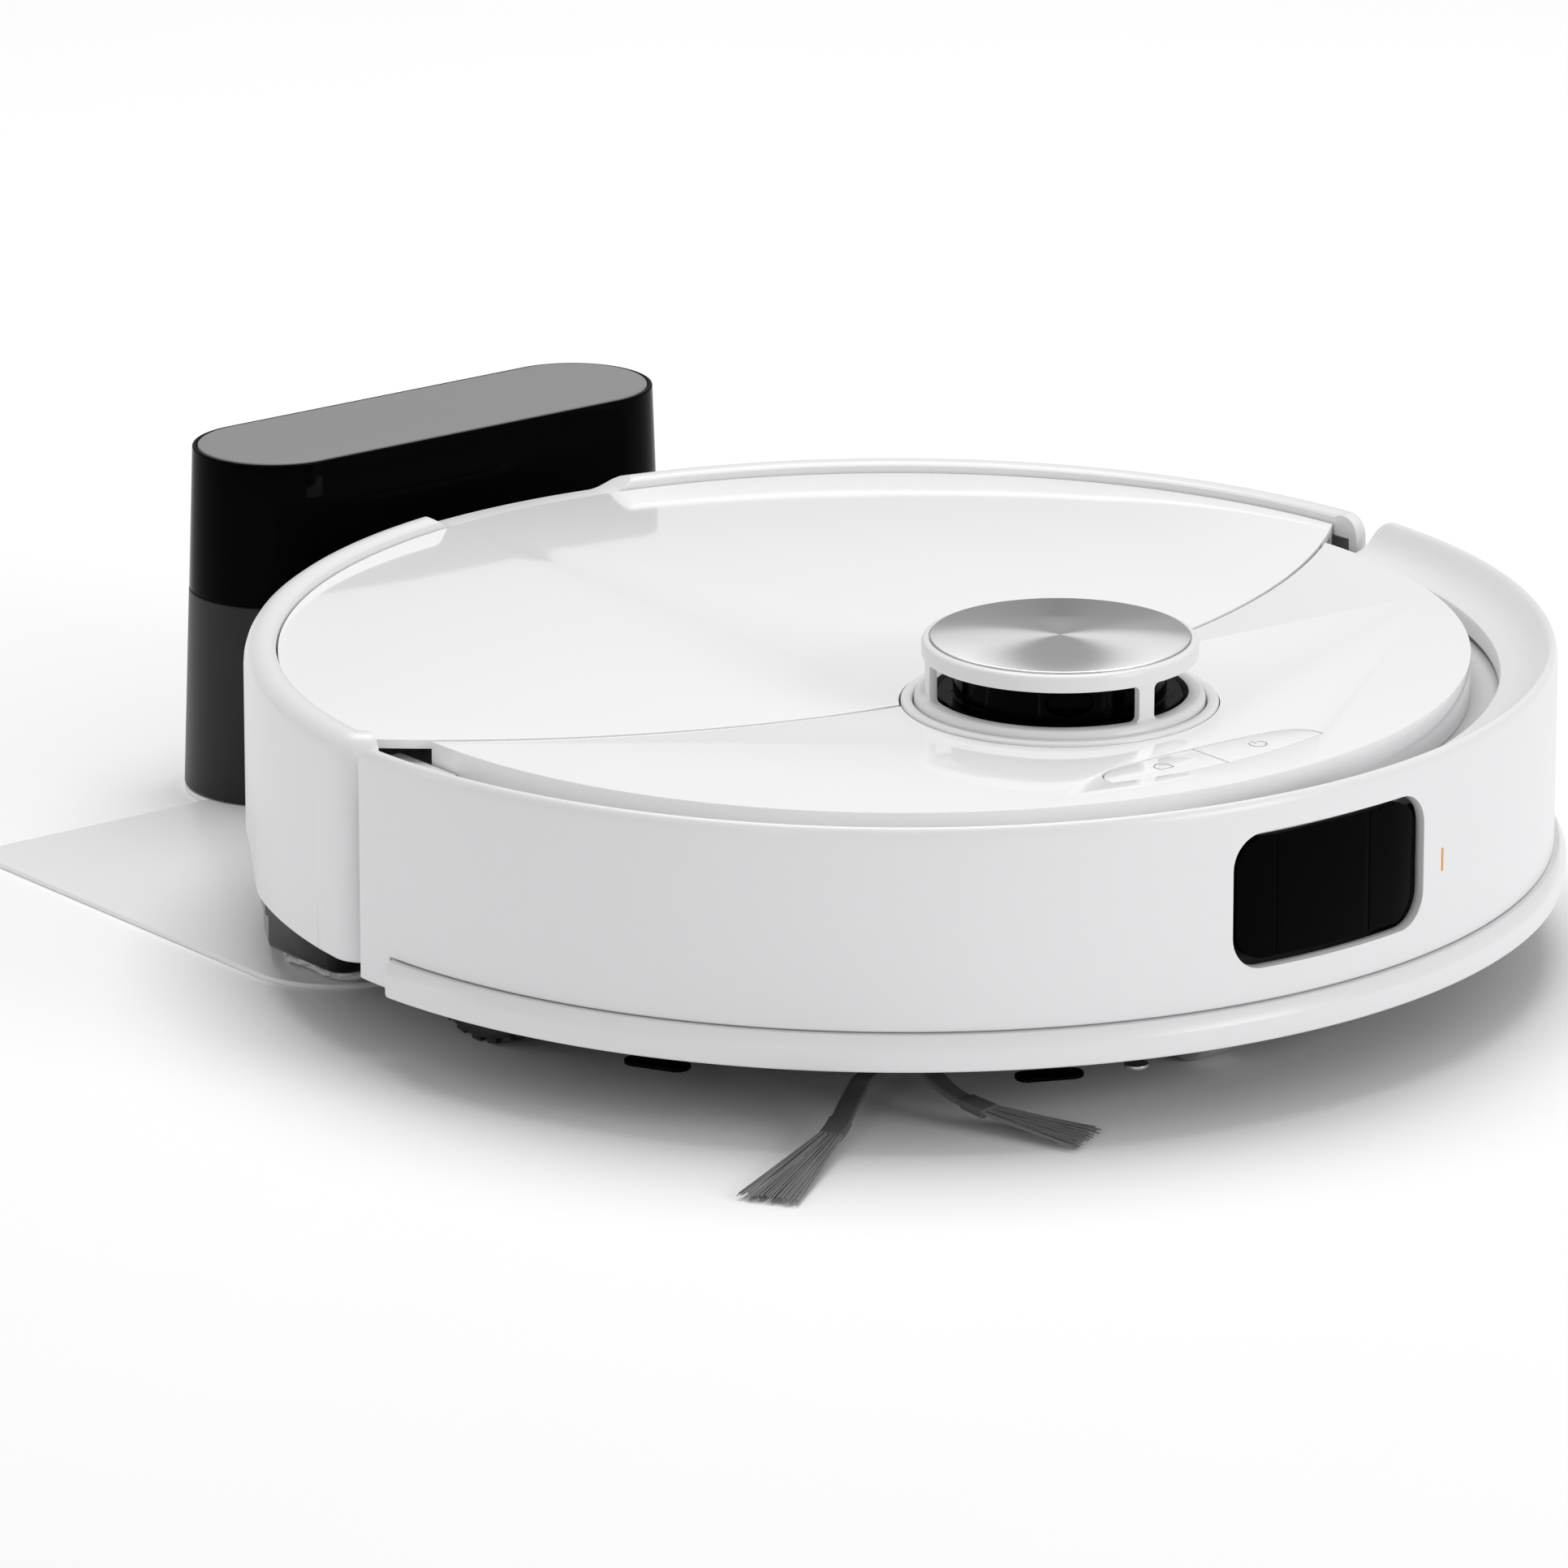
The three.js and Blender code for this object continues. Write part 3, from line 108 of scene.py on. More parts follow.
def pick(obj: Object, kind: str, test: Callable[[Vector, Vector], bool]) -> int:
    """Select vertices, edges or faces by their middle and normal, in world space.

    Args:
        obj: The object in edit mode.
        kind: VERT, EDGE or FACE.
        test: Takes the element's middle and its normal (an edge's is its direction).

    Returns:
        How many were picked.
    """
    bpy.ops.mesh.select_mode(type=kind)
    bpy.ops.mesh.select_all(action="DESELECT")
    mesh = bmesh.from_edit_mesh(obj.data)
    place = obj.matrix_world
    count = 0
    if kind == "VERT":
        rows = [(v, v.co, v.normal) for v in mesh.verts]
    elif kind == "EDGE":
        rows = [(e, (e.verts[0].co + e.verts[1].co) / 2, e.verts[1].co - e.verts[0].co) for e in mesh.edges]
    else:
        rows = [(f, f.calc_center_median(), f.normal) for f in mesh.faces]
    for element, middle, normal in rows:
        if test(place @ middle, normal.normalized() if normal.length > 0 else normal):
            element.select_set(True)
            count += 1
    mesh.select_flush_mode()
    bmesh.update_edit_mesh(obj.data)
    return count


def settle(obj: Object, name: str) -> Object:
    """Name an object and move its place into its mesh.

    Args:
        obj: A finished primitive.
        name: The piece's name.

    Returns:
        The same object, at the origin.
    """
    obj.name = name
    obj.data.name = name
    focus(obj)
    bpy.ops.object.transform_apply(location=True, rotation=True, scale=True)
    return obj


def close_up(obj: Object) -> None:
    """Merge doubles, fill open ends and turn all faces outwards."""
    with editing(obj):
        bpy.ops.mesh.select_all(action="SELECT")
        bpy.ops.mesh.remove_doubles(threshold=0.002 * MM)
        bpy.ops.mesh.fill_holes(sides=0)
        bpy.ops.mesh.select_all(action="SELECT")
        bpy.ops.mesh.normals_make_consistent(inside=False)


def draw(name: str, points: Sequence[Vector], closed: bool = True) -> Object:
    """Draw a line of vertices by extruding one from point to point.

    Args:
        name: The object's name.
        points: Corners of the line, in world space.
        closed: Whether the last point joins the first.

    Returns:
        A new object made of edges.
    """
    bpy.ops.mesh.primitive_plane_add(size=MM, location=points[0])
    obj = settle(bpy.context.object, name)
    with editing(obj):
        bpy.ops.mesh.select_all(action="SELECT")
        bpy.ops.mesh.merge(type="CENTER")
        for start, end in zip(points, points[1:]):
            bpy.ops.mesh.extrude_region_move(TRANSFORM_OT_translate={"value": end - start})
        if closed:
            first, last = points[0], points[-1]
            near = 0.001 * MM
            pick(obj, "VERT", lambda p, _: (p - first).length < near or (p - last).length < near)
            bpy.ops.mesh.edge_face_add()
    return obj


def polar(radius: float, angle: float, height: float = 0.0, centre: Vector = Vector()) -> Vector:
    """Point round an upright axis, its angle in degrees from the front (-Y) towards +X."""
    turn = math.radians(angle)
    return centre + Vector((radius * math.sin(turn), -radius * math.cos(turn), height))


def sweep(
    name: str, profile: Profile, centre: Vector, start: float = 0.0, end: float = 360.0, steps: int = FINE
) -> Object:
    """Spin a closed profile about an upright axis.

    Args:
        name: The piece's name.
        profile: Closed outline as (radius, height) pairs.
        centre: A point on the axis.
        start: First angle in degrees, from the front towards +X.
        end: Last angle in degrees.
        steps: Steps that a full turn would take.

    Returns:
        A closed solid.
    """
    points = [polar(radius, start, height, centre) for radius, height in profile]
    obj = draw(name, points)
    turn = math.radians(end - start)
    count = max(2, round(steps * abs(turn) / FULL_TURN))
    with editing(obj):
        bpy.ops.mesh.select_all(action="SELECT")
        bpy.ops.mesh.spin(steps=count, angle=-turn, center=centre, axis=UP)
    close_up(obj)
    return obj


def block(name: str, low: Sequence[float], high: Sequence[float], bevel: float = 0.0) -> Object:
    """Box between two corners, its edges rounded if asked.

    Args:
        name: The piece's name.
        low: Lowest corner.
        high: Highest corner.
        bevel: Edge radius.

    Returns:
        A closed solid.
    """
    low, high = Vector(low), Vector(high)
    bpy.ops.mesh.primitive_cube_add(size=1.0, location=(low + high) / 2)
    obj = bpy.context.object
    obj.scale = high - low
    settle(obj, name)
    if bevel > 0:
        with editing(obj, "EDGE"):
            bpy.ops.mesh.select_all(action="SELECT")
            bpy.ops.mesh.bevel(offset=bevel, segments=3, affect="EDGES")
    return obj


def rod(
    name: str,
    radius: float,
    start: Vector,
    end: Vector,
    steps: int = 64,
    bevel: float = 0.0,
    end_radius: float = -1.0,
) -> Object:
    """Round bar between two points.

    Args:
        name: The piece's name.
        radius: Its radius, at the start.
        start: Middle of one end.
        end: Middle of the other end.
        steps: Sides.
        bevel: Rounding of its two end rims.
        end_radius: Radius at the far end, where it tapers.

    Returns:
        A closed solid.
    """
    along = end - start
    bpy.ops.mesh.primitive_cone_add(
        vertices=steps,
        radius1=radius,
        radius2=end_radius if end_radius >= 0 else radius,
        depth=along.length,
        location=(start + end) / 2,
        rotation=UP.rotation_difference(along).to_euler(),
    )
    obj = settle(bpy.context.object, name)
    if bevel > 0:
        way = along.normalized()
        with editing(obj, "FACE"):
            pick(obj, "FACE", lambda _, n: abs(n.dot(way)) > 0.99)
            bpy.ops.mesh.bevel(offset=bevel, segments=3, affect="EDGES")
    return obj


def carve(obj: Object, *tools: Object, operation: str = "DIFFERENCE") -> Object:
    """Cut an object by others, which are used up.

    Args:
        obj: The object to cut.
        tools: What cuts it.
        operation: DIFFERENCE, INTERSECT or UNION.

    Returns:
        The cut object.
    """
    for tool in tools:
        cut = obj.modifiers.new("cut", "BOOLEAN")
        cut.operation = operation
        cut.solver = "EXACT"
        cut.object = tool
        focus(obj)
        bpy.ops.object.modifier_apply(modifier=cut.name)
        bpy.data.objects.remove(tool)
    with editing(obj):
        bpy.ops.mesh.select_all(action="SELECT")
        bpy.ops.mesh.remove_doubles(threshold=0.004 * MM)
        bpy.ops.mesh.dissolve_limited(angle_limit=math.radians(0.05))
    return obj


def soften(obj: Object, width: float, segments: int = 3, limit: float = 30.0, smooth: float = 35.0) -> Object:
    """Round every edge sharper than a limit, and smooth the shading between.

    Args:
        obj: The piece.
        width: Radius of the rounding, 0 for none.
        segments: Steps in the rounding.
        limit: Angle in degrees above which an edge is rounded.
        smooth: Angle in degrees below which shading runs through.

    Returns:
        The same piece.
    """
    focus(obj)
    if width > 0:
        bevel = obj.modifiers.new("edges", "BEVEL")
        bevel.width = width
        bevel.segments = segments
        bevel.limit_method = "ANGLE"
        bevel.angle_limit = math.radians(limit)
        bevel.harden_normals = False
        bpy.ops.object.modifier_apply(modifier=bevel.name)
    bpy.ops.object.shade_smooth_by_angle(angle=math.radians(smooth))
    return obj


def fused(name: str, *parts: Object) -> Object:
    """Join separate shells into one piece.

    Args:
        name: The new piece's name.
        parts: The shells, which are used up.

    Returns:
        One object.
    """
    focus(parts[0])
    for part in parts[1:]:
        part.select_set(True)
    if len(parts) > 1:
        bpy.ops.object.join()
    obj = bpy.context.object
    obj.name = name
    obj.data.name = name
    return obj


def copied(source: Object, name: str, place: Matrix) -> Object:
    """Copy an object with a mesh of its own, moved by a matrix.

    Args:
        source: What to copy.
        name: The copy's name.
        place: Where the copy goes, relative to the source.

    Returns:
        The copy, at the origin.
    """
    obj = source.copy()
    obj.data = source.data.copy()
    bpy.context.scene.collection.objects.link(obj)
    obj.matrix_world = place
    return settle(obj, name)


def refined(node: str, width: float, segments: int = 2, limit: float = 30.0) -> Object:
    """Copy a CAD node, merge its loose faces and round its edges.

    Args:
        node: The CAD node's name.
        width: Radius of the rounding.
        segments: Steps in the rounding.
        limit: Angle in degrees above which an edge is rounded.

    Returns:
        A finer piece that can stand for the node.
    """
    obj = copied(frame["nodes"][node], node + "_shape", Matrix.Identity(4))
    obj.data.materials.clear()
    for key in list(obj.keys()):
        del obj[key]
    with editing(obj):
        bpy.ops.mesh.select_all(action="SELECT")
        bpy.ops.mesh.remove_doubles(threshold=0.002 * MM)
        bpy.ops.mesh.customdata_custom_splitnormals_clear()
        bpy.ops.mesh.dissolve_limited(angle_limit=math.radians(0.2))
    return soften(obj, width, segments, limit)


# ---------------------------------------------------------------------------
# Finishes
# ---------------------------------------------------------------------------


def node_group(
    name: str, inputs: dict[str, tuple[str, object]], outputs: dict[str, str]
) -> bpy.types.NodeTree:
    """Start a shader node group with named sockets.

    Args:
        name: The group's name.
        inputs: Socket name to its type and default value.
        outputs: Socket name to its type.

    Returns:
        The empty group, with its input and output nodes.
    """
    tree = bpy.data.node_groups.new(name, "ShaderNodeTree")
    for label, (kind, default) in inputs.items():
        socket = tree.interface.new_socket(label, in_out="INPUT", socket_type=kind)
        if kind != "NodeSocketVector":
            socket.default_value = default
    for label, kind in outputs.items():
        tree.interface.new_socket(label, in_out="OUTPUT", socket_type=kind)
    tree.nodes.new("NodeGroupInput")
    tree.nodes.new("NodeGroupOutput")
    return tree


class Wiring:
    """Adds nodes to a tree and links them by socket name."""

    def __init__(self, tree: bpy.types.NodeTree) -> None:
        """Work on one node tree."""
        self.tree = tree

    def add(self, kind: str, settings: dict[str, object] | None = None, **values: object) -> bpy.types.Node:
        """Add a node.

        Args:
            kind: The node's type name.
            settings: Properties to set on the node.
            values: Socket name with _ for a space, or n and a socket's number, to a constant or a socket.

        Returns:
            The node.
        """
        node = self.tree.nodes.new(kind)
        for key, value in (settings or {}).items():
            setattr(node, key, value)
        for key, value in values.items():
            label = key.replace("_", " ")
            numbered = label[0] == "n" and label[1:].isdigit()
            socket = node.inputs[int(label[1:])] if numbered else node.inputs[label]
            if isinstance(value, bpy.types.NodeSocket):
                self.tree.links.new(value, socket)
            else:
                socket.default_value = value
        return node

    def math(self, operation: str, first: object, second: object = 0.0) -> bpy.types.NodeSocket:
        """Add a Math node and return its result."""
        return self.add("ShaderNodeMath", {"operation": operation}, n0=first, n1=second).outputs[0]

    def mix(self, share: object, low: object, high: object) -> bpy.types.NodeSocket:
        """Mix two colours and return the result."""
        return self.add("ShaderNodeMix", {"data_type": "RGBA"}, n0=share, n6=low, n7=high).outputs[2]

    def noise(self, vector: bpy.types.NodeSocket, scale: object, detail: float = 3.0) -> bpy.types.NodeSocket:
        """Add a Noise Texture and return its value, from 0 to 1."""
        return self.add("ShaderNodeTexNoise", Vector=vector, Scale=scale, Detail=detail).outputs["Fac"]


def grain_group() -> bpy.types.NodeTree:
    """Fine moulded texture: tiny pits over a slow swell, with a matching change of roughness."""
    tree = node_group(
        "moulded_grain",
        {
            "Vector": ("NodeSocketVector", None),
            "Scale": ("NodeSocketFloat", 2500.0),
            "Roughness": ("NodeSocketFloat", 0.4),
            "Spread": ("NodeSocketFloat", 0.06),
        },
        {"Height": "NodeSocketFloat", "Roughness": "NodeSocketFloat"},
    )
    wiring = Wiring(tree)
    source, sink = tree.nodes["Group Input"].outputs, tree.nodes["Group Output"].inputs
    fine = wiring.noise(source["Vector"], source["Scale"], 2.0)
    slow = wiring.noise(source["Vector"], wiring.math("MULTIPLY", source["Scale"], 0.012), 3.0)
    tree.links.new(wiring.math("ADD", fine, wiring.math("MULTIPLY", slow, 0.35)), sink["Height"])
    swing = wiring.math("MULTIPLY", wiring.math("SUBTRACT", slow, 0.5), source["Spread"])
    tree.links.new(wiring.math("ADD", source["Roughness"], swing), sink["Roughness"])
    return tree


def tone_group() -> bpy.types.NodeTree:
    """Slow drift of a colour over a surface, with sparse darker dust specks."""
    tree = node_group(
        "tone_drift",
        {
            "Vector": ("NodeSocketVector", None),
            "Colour": ("NodeSocketColor", (0.8, 0.8, 0.8, 1.0)),
            "Shade": ("NodeSocketColor", (0.7, 0.7, 0.7, 1.0)),
            "Speck": ("NodeSocketFloat", 0.0),
        },
        {"Colour": "NodeSocketColor"},
    )
    wiring = Wiring(tree)
    source, sink = tree.nodes["Group Input"].outputs, tree.nodes["Group Output"].inputs
    cloud = wiring.noise(source["Vector"], 9.0, 4.0)
    spots = wiring.noise(source["Vector"], 700.0, 1.0)
    rare = wiring.math("MULTIPLY", wiring.math("GREATER_THAN", spots, 0.72), source["Speck"])
    share = wiring.math("MINIMUM", wiring.math("ADD", cloud, rare), 1.0)
    tree.links.new(wiring.mix(share, source["Colour"], source["Shade"]), sink["Colour"])
    return tree


def fibre_group() -> bpy.types.NodeTree:
    """Looped pile or bundled filament: streaks along one way, with a height and a light and dark mask."""
    tree = node_group(
        "fibre_streaks",
        {
            "Vector": ("NodeSocketVector", None),
            "Scale": ("NodeSocketFloat", 1500.0),
            "Distortion": ("NodeSocketFloat", 2.0),
        },
        {"Height": "NodeSocketFloat", "Mask": "NodeSocketFloat"},
    )
    wiring = Wiring(tree)
    source, sink = tree.nodes["Group Input"].outputs, tree.nodes["Group Output"].inputs
    cells = wiring.add("ShaderNodeTexVoronoi", Vector=source["Vector"], Scale=source["Scale"])
    fuzz = wiring.noise(source["Vector"], wiring.math("MULTIPLY", source["Scale"], source["Distortion"]), 2.0)
    tree.links.new(wiring.math("ADD", cells.outputs["Distance"], fuzz), sink["Height"])
    tree.links.new(wiring.math("MULTIPLY", fuzz, cells.outputs["Distance"]), sink["Mask"])
    return tree


class SharedGroups:
    """Node groups that several finishes place, each built once."""

    _made: dict[str, bpy.types.NodeTree] = {}

    @classmethod
    def get(cls, maker: Callable[[], bpy.types.NodeTree]) -> bpy.types.NodeTree:
        """Return the group that maker builds, building it the first time."""
        if maker.__name__ not in cls._made:
            cls._made[maker.__name__] = maker()
        return cls._made[maker.__name__]


Colour = tuple[float, float, float]


@dataclass(frozen=True)
class Finish:
    """A surface: its colour, how it reflects, and its fine texture.

    Fields are linear colours, shares from 0 to 1, features per metre, and depths in metres.
    """

    name: str
    colour: Colour
    shade: Colour
    roughness: float = 0.4
    spread: float = 0.06
    metallic: float = 0.0
    specular: float = 0.5
    coat: float = 0.0
    coat_roughness: float = 0.05
    sheen: float = 0.0
    grain: float = 2500.0
    depth: float = 0.00002
    speck: float = 0.0
    alpha: float = 1.0
    fibre: float = 0.0
    brushed: tuple[float, float] | None = None

    def build(self) -> Material:
        """Make the material, once for each finish.

        Returns:
            The Blender material.
        """
        label = f"{self.name}_finish"
        if label in bpy.data.materials:
            return bpy.data.materials[label]
        material = bpy.data.materials.new(label)
        material.use_nodes = True
        material.diffuse_color = (*self.colour, self.alpha)
        wiring = Wiring(material.node_tree)
        shader = material.node_tree.nodes["Principled BSDF"]
        place = wiring.add("ShaderNodeTexCoord").outputs["Object"]
        self._constants(shader)
        self._surface(wiring, shader, place)
        return material

    def _constants(self, shader: bpy.types.Node) -> None:
        """Set what is the same all over the surface on the shader's own sockets."""
        shader.inputs["Metallic"].default_value = self.metallic
        shader.inputs["Specular IOR Level"].default_value = self.specular
        shader.inputs["Coat Weight"].default_value = self.coat
        shader.inputs["Coat Roughness"].default_value = self.coat_roughness
        shader.inputs["Sheen Weight"].default_value = self.sheen
        shader.inputs["Alpha"].default_value = self.alpha

    def _surface(self, wiring: Wiring, shader: bpy.types.Node, place: bpy.types.NodeSocket) -> None:
        """Wire colour, roughness and bump."""
        links = wiring.tree.links
        tone = wiring.add("ShaderNodeGroup", {"node_tree": SharedGroups.get(tone_group)}, Vector=place)
        tone.inputs["Colour"].default_value = (*self.colour, 1.0)
        tone.inputs["Shade"].default_value = (*self.shade, 1.0)
        tone.inputs["Speck"].default_value = self.speck
        colour = tone.outputs["Colour"]
        grain = wiring.add("ShaderNodeGroup", {"node_tree": SharedGroups.get(grain_group)}, Vector=place)
        grain.inputs["Scale"].default_value = self.grain
        grain.inputs["Roughness"].default_value = self.roughness
        grain.inputs["Spread"].default_value = self.spread
        height = grain.outputs["Height"]
        if self.fibre > 0:
            pile = wiring.add("ShaderNodeGroup", {"node_tree": SharedGroups.get(fibre_group)}, Vector=place)
            pile.inputs["Scale"].default_value = self.fibre
            height = pile.outputs["Height"]
            dark = tuple(0.55 * c for c in self.colour)
            colour = wiring.mix(pile.outputs["Mask"], colour, (*dark, 1.0))
        if self.brushed is not None:
            height = self._spun_lines(wiring, place)
            shader.inputs["Anisotropic"].default_value = 0.9
            tangent = wiring.add("ShaderNodeTangent", {"direction_type": "RADIAL", "axis": "Z"})
            links.new(tangent.outputs["Tangent"], shader.inputs["Tangent"])
        links.new(colour, shader.inputs["Base Color"])
        links.new(grain.outputs["Roughness"], shader.inputs["Roughness"])
        bump = wiring.add("ShaderNodeBump", Height=height, Strength=0.5, Distance=self.depth)
        links.new(bump.outputs["Normal"], shader.inputs["Normal"])

    def _spun_lines(self, wiring: Wiring, place: bpy.types.NodeSocket) -> bpy.types.NodeSocket:
        """Turning marks: rings about the middle given by brushed."""
        middle = (-self.brushed[0], -self.brushed[1], 0.0)
        centred = wiring.add("ShaderNodeMapping", Vector=place, Location=middle).outputs["Vector"]
        flat = wiring.add("ShaderNodeVectorMath", {"operation": "MULTIPLY"}, n0=centred, n1=(1.0, 1.0, 0.0))
        reach = wiring.add("ShaderNodeVectorMath", {"operation": "LENGTH"}, n0=flat.outputs[0])
        line = wiring.add("ShaderNodeCombineXYZ", X=reach.outputs["Value"]).outputs["Vector"]
        return wiring.noise(line, 9000.0, 4.0)


def grey(value: float) -> Colour:
    """Neutral colour of a linear brightness."""
    return (value, value, value * 1.01)


class Palette:
    """Every finish of the robot and its dock."""

    white_satin = Finish(
        "white_satin", grey(0.81), grey(0.79), roughness=0.3, grain=2600, depth=0.000012, coat=0.05
    )
    white_gloss = Finish(
        "white_gloss",
        grey(0.92),
        grey(0.905),
        roughness=0.07,
        spread=0.03,
        grain=700,
        depth=0.000002,
        coat=0.15,
    )
    mark_grey = Finish("mark_grey", grey(0.30), grey(0.26), roughness=0.5)
    accent_amber = Finish("accent_amber", (0.84, 0.33, 0.02), (0.78, 0.30, 0.02), roughness=0.4)
    black_gloss = Finish(
        "black_gloss",
        grey(0.0008),
        grey(0.0014),
        roughness=0.05,
        spread=0.03,
        specular=0.02,
        grain=500,
        depth=0.000001,
    )
    black_satin = Finish("black_satin", grey(0.006), grey(0.010), roughness=0.36, specular=0.3, depth=0.00002)
    bracket_gloss = Finish(
        "bracket_gloss", grey(0.004), grey(0.006), roughness=0.14, specular=0.22, grain=900, depth=0.000004
    )
    dock_black = Finish("dock_black", grey(0.024), grey(0.03), roughness=0.36, specular=0.14, depth=0.00002)
    chassis_black = Finish(
        "chassis_black", grey(0.020), grey(0.028), roughness=0.55, grain=1800, depth=0.00006, speck=0.4
    )
    grey_plastic = Finish("grey_plastic", grey(0.40), grey(0.36), roughness=0.5, depth=0.00003)
    trough_grey = Finish("trough_grey", grey(0.64), grey(0.60), roughness=0.5, depth=0.00002)
    dock_grey = Finish("dock_grey", grey(0.245), grey(0.232), roughness=0.42, grain=3000, depth=0.00002)
    plate_white = Finish(
        "plate_white", grey(0.86), grey(0.83), roughness=0.3, grain=2200, depth=0.00003, speck=0.15
    )
    dark_rubber = Finish("dark_rubber", grey(0.085), grey(0.11), roughness=0.62, grain=1500, depth=0.00005)
    tyre_rubber = Finish(
        "tyre_rubber", grey(0.022), grey(0.034), roughness=0.75, grain=1300, depth=0.00008, speck=0.5
    )
    bristle_grey = Finish("bristle_grey", grey(0.22), grey(0.15), roughness=0.5, sheen=0.2, grain=3000)
    steel = Finish("steel", grey(0.55), grey(0.48), roughness=0.28, metallic=1.0, grain=2500, depth=0.00001)
    contact_brass = Finish(
        "contact_brass", (0.72, 0.52, 0.24), (0.62, 0.44, 0.20), roughness=0.25, metallic=1.0
    )
    board_green = Finish("board_green", (0.02, 0.12, 0.05), (0.015, 0.09, 0.04), roughness=0.4, coat=0.3)
    smoke_clear = Finish(
        "smoke_clear",
        grey(0.20),
        grey(0.17),
        roughness=0.12,
        spread=0.04,
        alpha=0.45,
        grain=900,
        depth=0.000004,
    )
    microfibre = Finish(
        "microfibre", grey(0.82), grey(0.74), roughness=0.9, sheen=0.4, fibre=900.0, depth=0.0006
    )
    filter_paper = Finish(
        "filter_paper", (0.78, 0.77, 0.72), (0.70, 0.69, 0.63), roughness=0.9, fibre=1600, depth=0.0001
    )


def dress(obj: Object, finish: Finish) -> Object:
    """Give an object one finish all over.

    Args:
        obj: A piece, or a CAD node's object.
        finish: The finish.

    Returns:
        The same object.
    """
    material = finish.build()
    if len(obj.material_slots) == 0:
        obj.data.materials.append(material)
    for slot in obj.material_slots:
        slot.material = material
    return obj


def record_bodies() -> dict[str, str]:
    """Body of each CAD node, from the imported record."""
    return {node: body for body, nodes in frame["record"]["behaviour"]["bodies"].items() for node in nodes}


BODY_OF = record_bodies()


def install(obj: Object, name: str, finish: Finish, *nodes: str, rides_with: str = "") -> Object:
    """Finish a piece: name it, dress it, let it ride, and let it stand for CAD nodes.

    Args:
        obj: The modelled piece.
        name: Its final name.
        finish: Its finish.
        nodes: CAD nodes that it stands for.
        rides_with: A CAD node whose body it rides on, where it stands for none.

    Returns:
        The same piece.
    """
    obj.name = name
    obj.data.name = name
    dress(obj, finish)
    leader = nodes[0] if nodes else rides_with
    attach(obj, BODY_OF[leader])
    if nodes:
        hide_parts(*nodes)
    log.info("%s: %d faces, rides on %s", name, len(obj.data.polygons), BODY_OF[leader])
    return obj


# ---------------------------------------------------------------------------
# Where things are
# ---------------------------------------------------------------------------


class Side(Enum):
    """A side of the robot, seen the way it drives. Its value is the sign of X."""

    RIGHT = -1
    LEFT = 1

    @property
    def suffix(self) -> str:
        """The side's name at the end of a CAD node's name."""
        return self.name.lower()


def low(node: str) -> Vector:
    """Lowest corner of a CAD node."""
    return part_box(node)[0]


def high(node: str) -> Vector:
    """Highest corner of a CAD node."""
    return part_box(node)[1]


def middle(node: str) -> Vector:
    """Middle of a CAD node's box."""
    return (low(node) + high(node)) / 2


def body_centre() -> Vector:
    """The robot's upright axis, on the floor, from the rear shell that is centred on it."""
    return Vector((0.0, high("rear_shell").y - high("rear_shell").x, 0.0))


CENTRE = body_centre()
BODY_RADIUS = high("rear_shell").x
RIM_WIDTH = 8.6 * MM  # of the raised rim round the lid
PANEL_CLEARANCE = 0.3 * MM


def rounded_corner(
    radius: float, height: float, size: float, start: float, end: float, steps: int = 4
) -> Profile:
    """Points of a rounded corner in a (radius, height) profile.

    Args:
        radius: Its centre's radius.
        height: Its centre's height.
        size: The rounding's radius.
        start: First angle in degrees, 0 outwards and 90 up.
        end: Last angle in degrees.
        steps: Steps between them.

    Returns:
        The points, as (radius, height) pairs.
    """
    turns = [math.radians(start + (end - start) * i / steps) for i in range(steps + 1)]
    return [(radius + size * math.cos(t), height + size * math.sin(t)) for t in turns]


def upright_slab(
    name: str, sides: Sequence[float], levels: Sequence[float], corner: float, depth: Sequence[float]
) -> Object:
    """Slab with rounded corners that stands across the robot's front, to cut or keep a window.

    Args:
        name: The tool's name.
        sides: X of its left and right sides.
        levels: Height of its lower and upper edges.
        corner: Radius of its four corners.
        depth: Y of its front and back faces.

    Returns:
        The slab.
    """
    slab = block(name, (sides[0], depth[0], levels[0]), (sides[1], depth[1], levels[1]))
    with editing(slab, "EDGE"):
        pick(slab, "EDGE", lambda _, way: abs(way.y) > 0.99)
        bpy.ops.mesh.bevel(offset=corner, segments=10, affect="EDGES")
    return slab


# ---------------------------------------------------------------------------
# Outer shells
# ---------------------------------------------------------------------------


